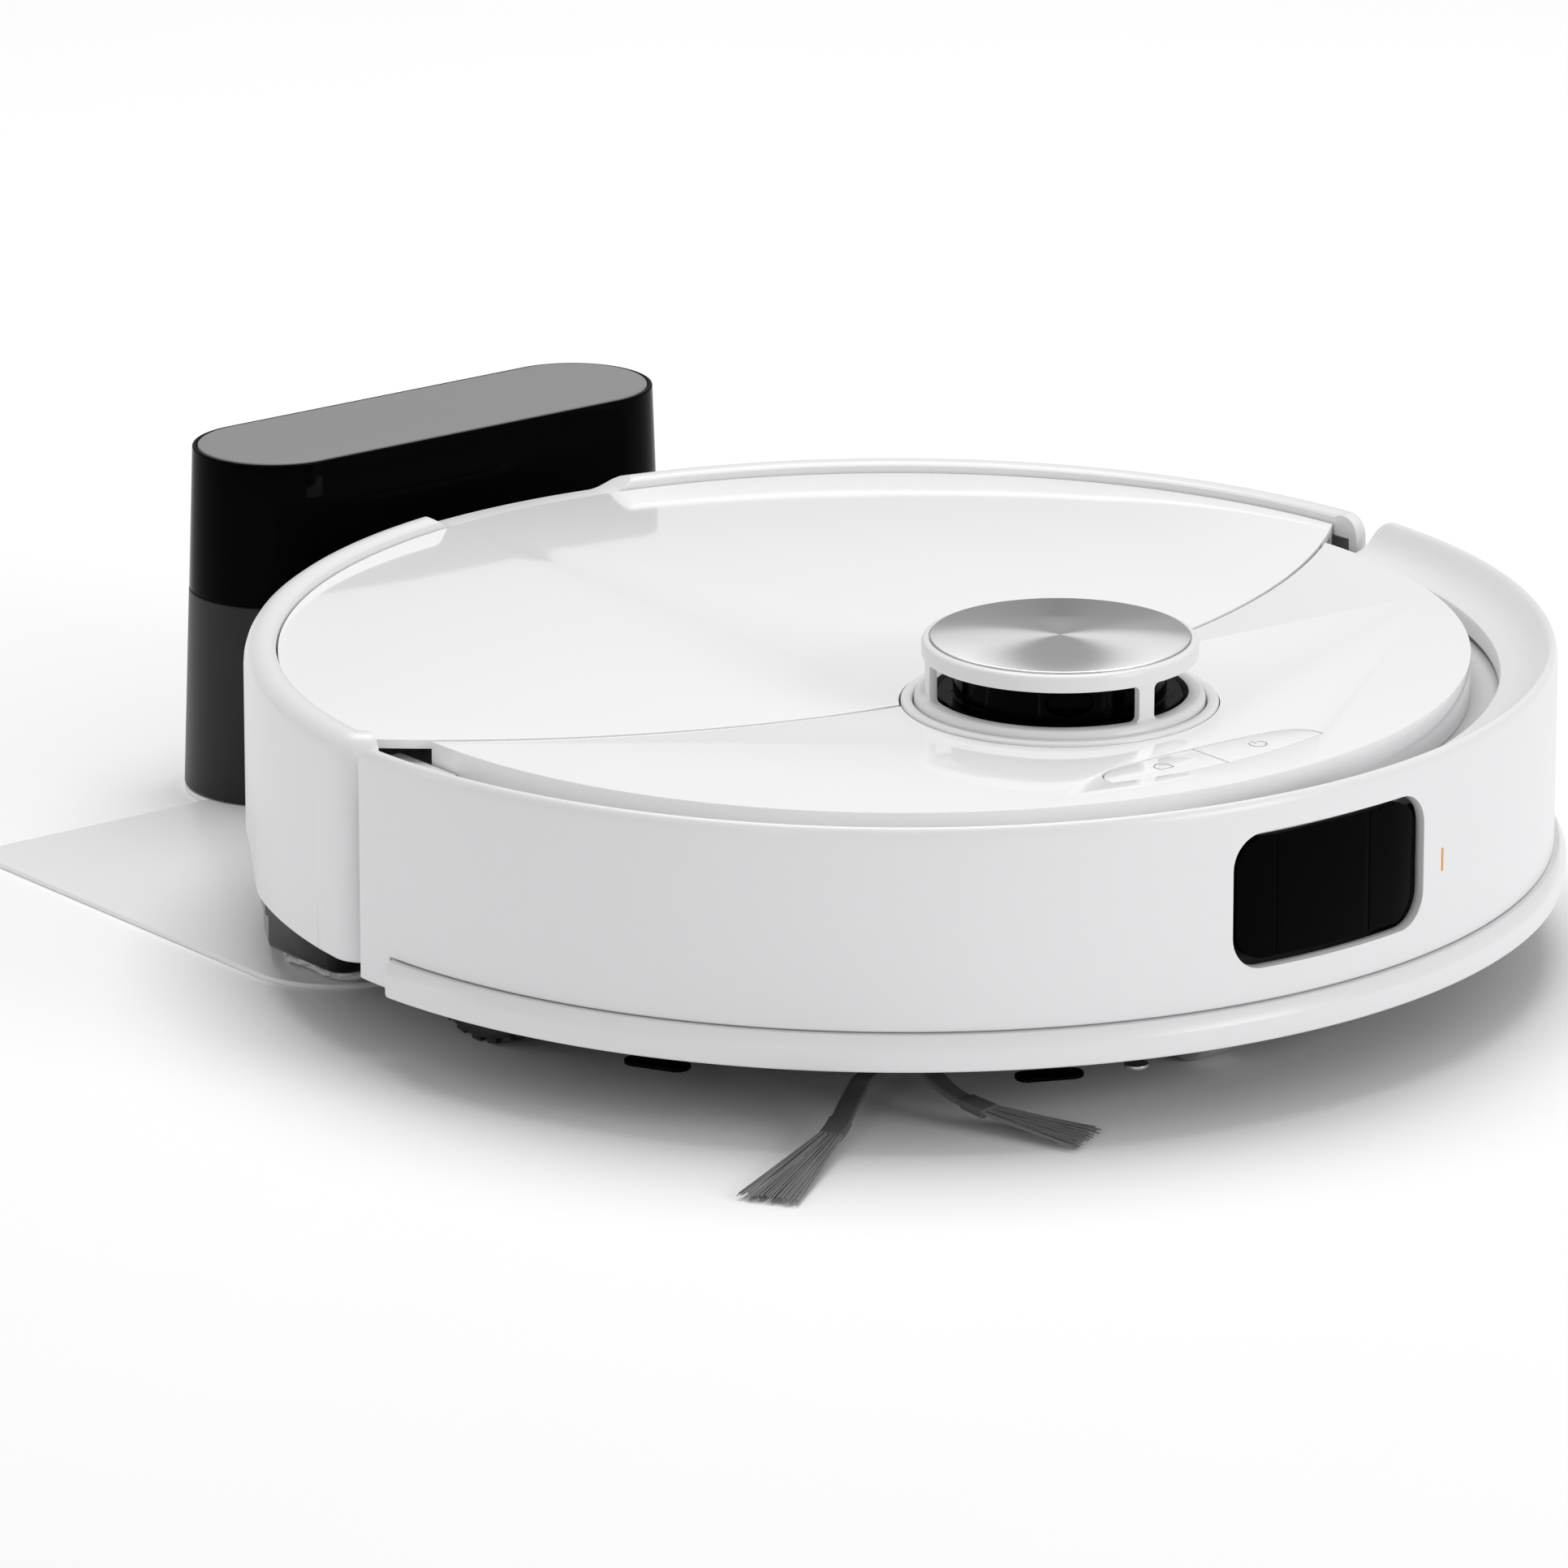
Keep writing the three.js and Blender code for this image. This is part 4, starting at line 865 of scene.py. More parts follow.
@dataclass
class FrontBumper:
    """The sprung bumper: its wall with a dished top, its lip, its window and its accent.

    The crest is given in millimetres, inwards from the wall's face and down from its top.
    """

    wall: float = 3.0 * MM
    crest: tuple[tuple[float, float], ...] = (
        (0, 4.5),
        (0.1, 2.9),
        (0.3, 1.7),
        (0.65, 0.8),
        (1.2, 0.2),
        (1.8, 0),
        (2.4, 0.15),
        (3.1, 0.75),
        (4.2, 2.1),
        (5.6, 3.9),
        (7.4, 5.7),
        (9.6, 7.1),
    )
    dish_depth: float = 7.9 * MM
    dish_width: float = 15.3 * MM
    trough_height: float = 72.0 * MM
    half_angle: float = 91.4
    strip_half_angle: float = 87.0
    window_sides: tuple[float, float] = (-26.0 * MM, 34.6 * MM)
    window_lines: tuple[float, float] = (-14.0 * MM, 17.0 * MM)
    window_corner: float = 8 * MM
    window_gap: float = 0.3 * MM
    recess: float = 1.3 * MM
    groove: float = 0.4 * MM
    corner: float = 4.3 * MM
    accent_angle: float = 14.9
    accent_height: float = 55.5 * MM
    window_reach: float = 30 * MM

    @property
    def front(self) -> float:
        """Y of a plane just in front of the bumper."""
        return CENTRE.y - BODY_RADIUS - 5 * MM

    def build(self) -> None:
        """Model all of the bumper's pieces."""
        self.build_wall()
        self.build_strip()
        self.build_window()
        self.build_accent()

    def profile(self) -> Profile:
        """Section of the wall: crest, dish, inner skirt and the wall's two faces."""
        outer, top = BODY_RADIUS, high("front_bumper").z
        bottom = low("front_bumper").z
        groove = high("bumper_strip").z + 0.3 * MM
        inner_edge = outer - self.dish_width
        floor = top - self.dish_depth
        trough = self.trough_height
        inner = outer - self.wall
        slope = [(outer - inward * MM, top - down * MM) for inward, down in self.crest]
        return [
            (inner, bottom),
            (inner, groove),
            (outer - 0.4 * MM, groove),
            (outer, groove + 0.4 * MM),
            *slope,
            (outer - 12.0 * MM, floor + 0.2 * MM),
            (inner_edge + 1.0 * MM, floor),
            (inner_edge + 0.3 * MM, floor - 0.2 * MM),
            (inner_edge, floor - 1.0 * MM),
            (inner_edge, trough),
            (inner_edge + 2 * MM, trough),
            (inner_edge + 2 * MM, floor - 2.5 * MM),
            (outer - self.wall - 3 * MM, floor - 2.5 * MM),
            (outer - self.wall - 0.8 * MM, floor - 3.3 * MM),
            (outer - self.wall, floor - 5.5 * MM),
            (inner, groove + 3 * MM),
            (inner - 3 * MM, groove + 3 * MM),
            (inner - 3 * MM, bottom),
        ]

    def build_wall(self) -> None:
        """Spin the wall, add its full-height ends, and cut the window's bevelled recess."""
        wall = sweep("front_bumper_shape", self.profile(), CENTRE, -self.half_angle, self.half_angle)
        bottom, groove = low("front_bumper").z, high("bumper_strip").z + 2 * MM
        skirt = [
            (BODY_RADIUS - self.wall, bottom),
            (BODY_RADIUS - 0.5 * MM, bottom),
            (BODY_RADIUS, bottom + 0.5 * MM),
            (BODY_RADIUS, groove),
            (BODY_RADIUS - self.wall, groove),
        ]
        ends = []
        for sign in (-1, 1):
            angles = sorted((sign * (self.strip_half_angle + 0.25), sign * self.half_angle))
            ends.append(sweep("bumper_end", skirt, CENTRE, *angles))
        carve(wall, *ends, operation="UNION")
        carve(wall, self.window_cutter(), *[self.corner_cutter(sign) for sign in (-1, 1)])
        soften(wall, 0.5 * MM, 3, limit=40, smooth=30)
        install(wall, "front_bumper_wall", Palette.white_satin, "front_bumper")

    def corner_cutter(self, sign: int) -> Object:
        """Tool that rounds the upper corner of one end of the wall.

        Args:
            sign: Which end, as the sign of X.

        Returns:
            A bar along the end's radius, with a round scooped out of it.
        """
        size, top = self.corner, high("front_bumper").z
        slack = 0.5 * MM
        bar = block(
            "corner_cutter",
            (BODY_RADIUS - 22 * MM, -sign * size, top - size),
            (BODY_RADIUS + 2 * MM, sign * slack, top + slack),
        )
        scoop = rod(
            "corner_scoop",
            size,
            Vector((BODY_RADIUS - 25 * MM, -sign * size, top - size)),
            Vector((BODY_RADIUS + 5 * MM, -sign * size, top - size)),
            48,
        )
        for tool in (bar, scoop):
            turn = Matrix.Rotation(math.radians(sign * self.half_angle - 90), 4, "Z")
            tool.matrix_world = Matrix.Translation(CENTRE) @ turn
            settle(tool, tool.name)
        close_up(bar)
        return carve(bar, scoop)

    def window_cutter(self) -> Object:
        """Window opening that flares outwards through the wall."""
        lowest, highest = low("sensor_window"), high("sensor_window")
        gap, front = self.window_gap, self.front
        sides = (self.window_sides[0] - gap, self.window_sides[1] + gap)
        levels = (lowest.z - gap, highest.z + gap)
        corner = self.window_corner + gap
        cutter = upright_slab("window_cutter", sides, levels, corner, (front, front + self.window_reach))
        flare = 1 + 2 * self.recess / highest.x
        with editing(cutter, "FACE"):
            pick(cutter, "FACE", lambda _, n: n.y < -0.99)
            bpy.ops.mesh.extrude_region_move(TRANSFORM_OT_translate={"value": (0, -0.01 * MM, 0)})
        with editing(cutter, "VERT"):
            pick(cutter, "VERT", lambda p, _: p.y < front + 1 * MM)
            bpy.ops.transform.translate(value=(0, 2.2 * MM, 0))
        self.flare_front(cutter, front, flare)
        return cutter

    def flare_front(self, cutter: Object, front: float, flare: float) -> None:
        """Widen the cutter's front end so that it bevels the opening's rim."""
        centre = middle("sensor_window")
        with editing(cutter, "VERT"):
            pick(cutter, "VERT", lambda p, _: p.y < front + 3 * MM)
            pivot = Vector((sum(self.window_sides) / 2, front + 2 * MM, centre.z))
            bpy.ops.transform.resize(value=(flare, 1.0, flare * 1.04), center_override=pivot)

    def build_strip(self) -> None:
        """Spin the lip under the wall and round its ends."""
        top, bottom = high("bumper_strip").z, low("bumper_strip").z
        outer = BODY_RADIUS + 3.3 * MM
        profile = [
            (BODY_RADIUS - 2.7 * MM, bottom),
            (outer - 1.2 * MM, bottom),
            *rounded_corner(outer - 1.3 * MM, bottom + 1.0 * MM, 1.0 * MM, -80, -10),
            (outer, bottom + 5.9 * MM),
            (outer - 0.25 * MM, bottom + 6.5 * MM),
            (BODY_RADIUS + 1.75 * MM, top - 0.35 * MM),
            (BODY_RADIUS + 1.35 * MM, top),
            (BODY_RADIUS - 2.7 * MM, top),
        ]
        strip = sweep("bumper_strip_shape", profile, CENTRE, -self.strip_half_angle, self.strip_half_angle)
        reach = BODY_RADIUS + 1 * MM
        with editing(strip, "EDGE"):
            pick(strip, "EDGE", lambda p, _: self._at_end(p) and (p - CENTRE).xy.length > reach)
            bpy.ops.mesh.bevel(offset=1.6 * MM, segments=5, affect="EDGES")
        soften(strip, 0, smooth=40)
        install(strip, "bumper_lip", Palette.white_satin, "bumper_strip")

    def _at_end(self, point: Vector) -> bool:
        """Whether a point lies on one of the strip's end faces."""
        turn = math.degrees(math.atan2(abs(point.x), CENTRE.y - point.y))
        return turn > self.strip_half_angle - 0.02

    def build_window(self) -> None:
        """Curved dark panel with two fine section lines."""
        lowest, highest = low("sensor_window"), high("sensor_window")
        outer = CENTRE.y - lowest.y
        profile = [
            (outer - 3 * MM, lowest.z - 5 * MM),
            (outer, lowest.z - 5 * MM),
            (outer, highest.z + 5 * MM),
            (outer - 3 * MM, highest.z + 5 * MM),
        ]
        panel = sweep("sensor_window_shape", profile, CENTRE, -14, 14)
        levels, depth = (lowest.z, highest.z), (self.front, self.front + self.window_reach)
        keep = upright_slab("window_keep", self.window_sides, levels, self.window_corner, depth)
        carve(panel, keep, operation="INTERSECT")
        for x in self.window_lines:
            face = CENTRE.y - math.sqrt(outer**2 - x**2)
            half = self.groove / 2
            first = (x - half, face - 2 * MM, lowest.z - 1 * MM)
            carve(panel, block("section_line", first, (x + half, face + 0.25 * MM, 0.1)))
        soften(panel, 0.35 * MM, 3, limit=50, smooth=20)
        install(panel, "sensor_window_panel", Palette.black_gloss, "sensor_window")

    def build_accent(self) -> None:
        """Small coloured bar let into the wall beside the window."""
        place = polar(BODY_RADIUS, self.accent_angle, self.accent_height, CENTRE)
        bar = block("accent", (-0.38 * MM, -0.12 * MM, -3.1 * MM), (0.38 * MM, 0.2 * MM, 3.1 * MM), 0.08 * MM)
        turn = Matrix.Rotation(math.radians(self.accent_angle), 4, "Z")
        bar.matrix_world = Matrix.Translation(place) @ turn
        settle(bar, "accent")
        install(bar, "bumper_accent", Palette.accent_amber, rides_with="front_bumper")


@dataclass
class RearShell:
    """The wall round the robot's rear half, with its raised rim and curled ends."""

    wall: float = 3.0 * MM
    half_angle: float = 84.4
    end_radius: float = 9.0 * MM
    notch_half: float = 28.0 * MM
    ramp_start: float = 66.0
    ramp_end: float = 61.0
    hem_rise: float = 10 * MM
    hem_steps: int = 12

    def profile(self) -> Profile:
        """Section of the wall and its rounded rim."""
        top, bottom = high("rear_shell").z, low("rear_shell").z
        rim = BODY_RADIUS - RIM_WIDTH
        return [
            (BODY_RADIUS - self.wall, bottom),
            (BODY_RADIUS - 0.6 * MM, bottom),
            (BODY_RADIUS, bottom + 0.6 * MM),
            (BODY_RADIUS, top - 7 * MM),
            (BODY_RADIUS - 0.2 * MM, top - 4.7 * MM),
            (BODY_RADIUS - 0.75 * MM, top - 2.9 * MM),
            (BODY_RADIUS - 1.7 * MM, top - 1.45 * MM),
            (BODY_RADIUS - 2.9 * MM, top - 0.55 * MM),
            (BODY_RADIUS - 4.2 * MM, top - 0.1 * MM),
            (BODY_RADIUS - 5.5 * MM, top),
            (rim + 1.6 * MM, top - 0.2 * MM),
            (rim + 0.7 * MM, top - 0.6 * MM),
            (rim + 0.15 * MM, top - 1.2 * MM),
            (rim, top - 2.0 * MM),
            (rim, top - 6 * MM),
            (BODY_RADIUS - self.wall, top - 6 * MM),
        ]

    def build(self) -> None:
        """Spin the wall, curl its ends inwards, and cut its openings."""
        points = [polar(r, 180 - self.half_angle, z, CENTRE) for r, z in self.profile()]
        shell = draw("rear_shell_shape", points)
        sweep_angle = math.radians(2 * self.half_angle)
        steps = round(FINE * sweep_angle / FULL_TURN)
        with editing(shell):
            bpy.ops.mesh.select_all(action="SELECT")
            bpy.ops.mesh.spin(steps=steps, angle=-sweep_angle, center=CENTRE, axis=UP)
            bpy.ops.mesh.spin(steps=14, angle=-math.pi / 2, center=self.curl_axis(-1), axis=UP)
            pick(shell, "VERT", lambda p, _: self._at_start(p))
            bpy.ops.mesh.spin(steps=14, angle=math.pi / 2, center=self.curl_axis(1), axis=UP)
        close_up(shell)
        self.raise_hem(shell)
        carve(shell, *self.cutters())
        soften(shell, 0.45 * MM, 3, limit=45, smooth=30)
        install(shell, "rear_shell_wall", Palette.white_satin, "rear_shell")

    def curl_axis(self, sign: int) -> Vector:
        """Upright axis that an end curls about."""
        return polar(BODY_RADIUS - self.end_radius, 180 - sign * self.half_angle, 0.0, CENTRE)

    def _at_start(self, point: Vector) -> bool:
        """Whether a point lies on the section that the wall was spun from."""
        offset = point - CENTRE
        turn = math.degrees(math.atan2(offset.x, -offset.y))
        return abs(turn - (180 - self.half_angle)) < 0.02 and offset.xy.length > BODY_RADIUS - 9 * MM

    def raise_hem(self, shell: Object) -> None:
        """Lift the lower edge over the mop, with a smooth ramp at each side."""
        bottom, steps = low("rear_shell").z, self.hem_steps
        with editing(shell):
            for step in range(steps + 1):
                outer, inner = (
                    self.ramp_start + (self.ramp_end - self.ramp_start) * k / steps for k in (step, step + 1)
                )
                share = (step + 0.5) / (steps + 0.5) if step < steps else 1.0
                lift = self.hem_rise * (3 * share**2 - 2 * share**3)
                last = 0.0 if step == steps else inner

                def in_band(point: Vector, _: Vector, outer: float = outer, last: float = last) -> bool:
                    turn = abs(math.degrees(math.atan2(point.x, point.y - CENTRE.y)))
                    return last <= turn < outer and point.z < bottom + 1 * MM

                if pick(shell, "VERT", in_band):
                    bpy.ops.transform.translate(value=(0, 0, lift))

    def cutters(self) -> list[Object]:
        """Finger notch in the rim and slots for the two charging pads."""
        top = high("rear_shell").z
        floor = top - 4 * MM
        notch = block(
            "notch",
            (-self.notch_half, CENTRE.y + BODY_RADIUS - 30 * MM, floor),
            (self.notch_half, CENTRE.y + BODY_RADIUS + 5 * MM, top + 5 * MM),
        )
        with editing(notch, "FACE"):
            pick(notch, "FACE", lambda _, n: n.z > 0.99)
            bpy.ops.transform.resize(value=(1.5, 1, 1), center_override=(0, CENTRE.y, top))
        with editing(notch, "EDGE"):
            pick(notch, "EDGE", lambda p, way: p.z < floor + 0.1 * MM and abs(way.y) > 0.9)
            bpy.ops.mesh.bevel(offset=2.5 * MM, segments=5, affect="EDGES")
        tools = [notch]
        for side in Side:
            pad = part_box(f"charge_pad_{side.suffix}")
            gap = Vector((0.3 * MM, 0.02, 0.3 * MM))
            tools.append(block("pad_slot", pad[0] - gap, pad[1] + gap))
        return tools


@dataclass
class TopPanels:
    """Deck, lift-off lid and the two buttons, split by one curved joint."""

    seam_radius: float = 243.4 * MM
    seam_front: float = -48.0 * MM
    slip: float = 0.5 * MM
    skin: float = 2.5 * MM
    deck_inset: float = 23 * MM
    button_gap: float = 0.45 * MM
    button_half: float = 35 * MM
    symbol_reach: float = 128.3 * MM

    @property
    def seam_centre(self) -> Vector:
        """Middle of the joint's circle."""
        return Vector((0.0, CENTRE.y + self.seam_front + self.seam_radius, 0.0))

    @property
    def well_radius(self) -> float:
        """Radius of the hole round the turret."""
        return high("turret_well_ring").x

    def disc(
        self, name: str, centre: Vector, radius: float, bottom: float, top: float, steps: int = FINE
    ) -> Object:
        """Upright cylinder between two heights."""
        return rod(name, radius, centre + UP * bottom, centre + UP * top, steps)

    def tall(self, name: str, centre: Vector, radius: float, steps: int = FINE) -> Object:
        """Cylinder taller than the panels, for cutting them."""
        return self.disc(name, centre, radius, 0.04, 0.12, steps)

    def build(self) -> None:
        """Model the lid, the deck and the buttons."""
        self.build_lid()
        self.build_deck()
        for side in Side:
            self.build_button(side)

    def build_lid(self) -> None:
        """Lid with a skirt under its rim."""
        top = high("lid").z
        radius = BODY_RADIUS - RIM_WIDTH - self.slip
        lid = self.disc("lid_shape", CENTRE, radius, top - self.skin, top)
        skirt = self.disc("lid_skirt", CENTRE, radius, low("lid").z, top - 1 * MM)
        carve(skirt, self.tall("skirt_inside", CENTRE, radius - 3 * MM))
        carve(lid, skirt, operation="UNION")
        behind = self.tall("behind_seam", self.seam_centre, self.seam_radius - self.slip, 2 * FINE)
        carve(lid, behind, operation="INTERSECT")
        turret = middle("turret_well_ring")
        carve(lid, self.tall("well", Vector((0, turret.y, 0)), self.well_radius + self.slip))
        soften(lid, 0.5 * MM, 4, limit=40, smooth=30)
        install(lid, "lid_panel", Palette.white_gloss, "lid")

    def build_deck(self) -> None:
        """Deck with its outer skirt and the recess for the buttons."""
        top, bottom = high("deck_panel").z, low("deck_panel").z
        radius = BODY_RADIUS - self.deck_inset
        deck = self.disc("deck_shape", CENTRE, radius, top - self.skin, top)
        skirt = self.disc("deck_skirt", CENTRE, radius, bottom, top - 1 * MM)
        carve(skirt, self.tall("skirt_inside", CENTRE, radius - self.skin))
        carve(deck, skirt, operation="UNION")
        turret = middle("turret_well_ring")
        carve(
            deck,
            self.tall("behind_seam", self.seam_centre, self.seam_radius + self.slip, 2 * FINE),
            self.tall("well", Vector((0, turret.y, 0)), self.well_radius + PANEL_CLEARANCE),
            self.button_blank("button_recess", self.button_gap),
        )
        soften(deck, 0.45 * MM, 4, limit=40, smooth=30)
        install(deck, "deck_top", Palette.white_gloss, "deck_panel")
        self.build_corners(radius)

    def build_corners(self, radius: float) -> None:
        """Pale ledges that close the deck's two rear corners, under the lid's front edge."""
        level = low("lid").z - 0.6 * MM
        ledges = []
        for side in Side:
            for near, far, start, end in ((0.7, 6.3, -8.0, 8.0), (0.7, 12.0, 8.0, 16.5)):
                xs = sorted((side.value * (radius + near * MM), side.value * (radius + far * MM)))
                first = (xs[0], CENTRE.y + start * MM, level - 7 * MM)
                last = (xs[1], CENTRE.y + end * MM, level)
                ledges.append(block("ledge", first, last, 0.3 * MM))
        whole = fused("corner_ledges", *ledges)
        install(whole, "deck_corner_ledges", Palette.white_satin, rides_with="deck_panel")

    def button_blank(self, name: str, grow: float) -> Object:
        """Crescent that both buttons are cut from.

        Args:
            name: The blank's name.
            grow: How far it is widened all round.

        Returns:
            A tall upright prism.
        """
        front = CENTRE.y - low("home_button").y + grow
        half = self.button_half + grow
        rear = -front + 14.4 * MM + 2 * grow
        tip = -math.sqrt(front**2 - half**2)
        start = math.atan2(tip, -half)
        end = -math.pi - start
        arc = [start + (end - start) * i / 40 for i in range(41)]
        outline = [Vector((front * math.cos(t), front * math.sin(t), 0)) for t in arc]
        outline += self._curve((half, tip), (half, rear - 2 * MM), (half * 0.7, rear - 1 * MM))
        outline += self._curve((half * 0.7, rear - 1 * MM), (0, rear + 1 * MM), (-half * 0.7, rear - 1 * MM))
        outline += self._curve((-half * 0.7, rear - 1 * MM), (-half, rear - 2 * MM), (-half, tip))[:-1]
        base = CENTRE + UP * 0.07
        blank = draw(name, [base + point for point in outline])
        with editing(blank):
            bpy.ops.mesh.select_all(action="SELECT")
            bpy.ops.mesh.edge_face_add()
            bpy.ops.mesh.extrude_region_move(TRANSFORM_OT_translate={"value": (0, 0, 0.03)})
        close_up(blank)
        return blank

    def _curve(self, start: tuple, bend: tuple, end: tuple) -> list[Vector]:
        """Points after the start of a curve that leaves and arrives towards one bend point."""
        a, b, c = (Vector((p[0], p[1], 0)) for p in (start, bend, end))
        shares = [i / 10 for i in range(1, 11)]
        return [a * (1 - t) ** 2 + b * 2 * t * (1 - t) + c * t**2 for t in shares]

    def build_button(self, side: Side) -> None:
        """One half of the crescent, with a drawn symbol let into its top."""
        node = "home_button" if side is Side.RIGHT else "power_button"
        lowest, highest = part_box(node)
        blank = self.button_blank(f"{node}_shape", 0.0)
        near, far = 0.3 * MM, 60 * MM
        xs = sorted((side.value * near, side.value * far))
        keep = block("half", (xs[0], CENTRE.y - BODY_RADIUS, lowest.z), (xs[1], CENTRE.y, highest.z))
        carve(blank, keep, operation="INTERSECT")
        soften(blank, 0.35 * MM, 3, limit=40, smooth=30)
        install(blank, f"{node}_cap", Palette.white_gloss, node)
        symbol = self.power_symbol() if side is Side.LEFT else self.home_symbol()
        install(symbol, f"{node}_symbol", Palette.mark_grey, rides_with=node)

    def _symbol_place(self, side: Side) -> Vector:
        """Where a button's symbol lies."""
        return Vector((side.value * 16 * MM, CENTRE.y - self.symbol_reach, high("home_button").z))

    def power_symbol(self) -> Object:
        """Broken ring with a bar through its gap."""
        place = self._symbol_place(Side.LEFT)
        ring = [(2.1 * MM, -0.1 * MM), (2.45 * MM, -0.1 * MM), (2.45 * MM, 0.03 * MM), (2.1 * MM, 0.03 * MM)]
        arc = sweep("power_arc", ring, place, -145, 145, 48)
        ends = [place + Vector(p) * MM for p in ((-0.18, 0.6, -0.1), (0.18, 2.9, 0.03))]
        bar = block("power_bar", *ends)
        return fused("power_symbol", arc, bar)

    def home_symbol(self) -> Object:
        """Outline of a small house, drawn as five bars."""
        place = self._symbol_place(Side.RIGHT)
        house = ((-2.2, -2, 0), (2.2, -2, 0), (2.2, 0.8, 0), (0, 2.5, 0), (-2.2, 0.8, 0))
        corners = [Vector(p) * MM for p in house]
        bars = []
        for start, end in zip(corners, corners[1:] + corners[:1]):
            along = end - start
            half = along.length / 2
            bar = block("bar", (-half, -0.18 * MM, -0.1 * MM), (half, 0.18 * MM, 0.03 * MM))
            turn = Matrix.Rotation(math.atan2(along.y, along.x), 4, "Z")
            bar.matrix_world = Matrix.Translation(place + (start + end) / 2) @ turn
            bars.append(settle(bar, "bar"))
        return fused("home_symbol", *bars)


# ---------------------------------------------------------------------------
# Laser turret
# ---------------------------------------------------------------------------


@dataclass
class LaserTurret:
    """Pressable cage with a brushed cap, over a spinning head in a trimmed well."""

    cage_radius: float = 36.2 * MM
    wall: float = 2.6 * MM
    post_angles: tuple[float, ...] = (0.0, 115.0, -115.0)
    post_half_angle: float = 4.0
    lens_angle: float = -34.0

    @property
    def axis(self) -> Vector:
        """The turret's upright axis, on the floor."""
        return Vector((0.0, middle("lidar_cage").y, 0.0))

    def build(self) -> None:
        """Model all of the turret's pieces."""
        self.build_well_ring()
        self.build_cage()
        self.build_cap()
        self.build_head()

    def build_well_ring(self) -> None:
        """Raised trim ring round the turret."""
        outer, top, bottom = high("turret_well_ring").x, high("turret_well_ring").z, low("turret_well_ring").z
        inner = outer - 3 * MM
        profile = [
            (inner, bottom),
            (outer, bottom),
            (outer, top - 1.1 * MM),
            *rounded_corner(outer - 1.0 * MM, top - 1.0 * MM, 1.0 * MM, 0, 90),
            *rounded_corner(inner + 1.0 * MM, top - 1.0 * MM, 1.0 * MM, 90, 180),
        ]
        ring = sweep("well_ring_shape", profile, self.axis, steps=192)
        soften(ring, 0, smooth=40)
        install(ring, "well_trim", Palette.white_satin, "turret_well_ring")

    def build_cage(self) -> None:
        """Skirt, three posts with rounded windows between them, and the top ring."""
        skirt, radius = high("lidar_cage").x, self.cage_radius
        top, bottom = high("lidar_cage").z, low("lidar_cage").z
        sill, head = high("lid").z + 2.7 * MM, high("lidar_cap").z - 5.2 * MM
        profile = [
            (skirt - 2.8 * MM, bottom),
            (skirt, bottom),
            (skirt, sill - 3.2 * MM),
            *rounded_corner(skirt - 1.9 * MM, sill - 1.9 * MM, 1.9 * MM, 0, 70),
            (radius - 0.6 * MM, sill + 0.3 * MM),
            (radius - 0.5 * MM, head),
            (radius - 0.15 * MM, head + 0.15 * MM),
            (radius, head + 0.7 * MM),
            *rounded_corner(radius - 1.4 * MM, top - 1.4 * MM, 1.4 * MM, 0, 90, 5),
            (34.3 * MM, top),
            (34.3 * MM, top - 0.6 * MM),
            (0.05 * MM, top - 0.6 * MM),
            (0.05 * MM, head + 2.4 * MM),
            (radius - self.wall, head + 2.4 * MM),
            (radius - self.wall, sill),
        ]
        cage = sweep("lidar_cage_shape", profile, self.axis, steps=180)
        for start, end in self.window_spans():
            carve(cage, self.window_tool(start, end, sill, head))
        soften(cage, 0.45 * MM, 3, limit=35, smooth=30)
        install(cage, "turret_cage", Palette.white_satin, "lidar_cage")

    def window_spans(self) -> list[tuple[float, float]]:
        """Angles between which the cage is open."""
        angles = sorted(self.post_angles)
        nexts = angles[1:] + [angles[0] + 360]
        return [(a + self.post_half_angle, b - self.post_half_angle) for a, b in zip(angles, nexts)]

    def window_tool(self, start: float, end: float, sill: float, head: float) -> Object:
        """Curved slab with rounded corners that opens one window."""
        reach = [(30 * MM, sill), (42 * MM, sill), (42 * MM, head), (30 * MM, head)]
        tool = sweep("window_tool", reach, self.axis, start, end, 72)
        with editing(tool, "EDGE"):
            pick(tool, "EDGE", lambda p, way: abs(way.z) < 0.01 and self._radial_end(p, way, start, end))
            bpy.ops.mesh.bevel(offset=1.6 * MM, segments=5, affect="EDGES")
        return tool

    def _radial_end(self, point: Vector, way: Vector, start: float, end: float) -> bool:
        """Whether an edge is one of a window's four radial corners."""
        offset = (point - self.axis).xy
        if offset.length < 34 * MM or abs(way.xy.normalized().dot(offset.normalized())) < 0.99:
            return False
        turn = math.degrees(math.atan2(offset.x, -offset.y))
        return any(abs((turn - edge + 180) % 360 - 180) < 0.05 for edge in (start, end))

    def build_cap(self) -> None:
        """Spun metal disc with a fine turned edge."""
        radius, top, bottom = high("lidar_cap").x, high("lidar_cap").z, low("lidar_cap").z
        profile = [
            (0.02 * MM, bottom),
            (radius, bottom),
            (radius, top - 0.22 * MM),
            (radius - 0.08 * MM, top - 0.08 * MM),
            (radius - 0.22 * MM, top),
            (0.02 * MM, top),
        ]
        cap = sweep("lidar_cap_shape", profile, self.axis, steps=240)
        soften(cap, 0, smooth=30)
        brushed = Finish(
            "brushed_cap",
            grey(0.72),
            grey(0.66),
            roughness=0.3,
            spread=0.04,
            metallic=1.0,
            depth=0.000003,
            brushed=(self.axis.x, self.axis.y),
        )
        install(cap, "turret_cap", brushed, "lidar_cap")

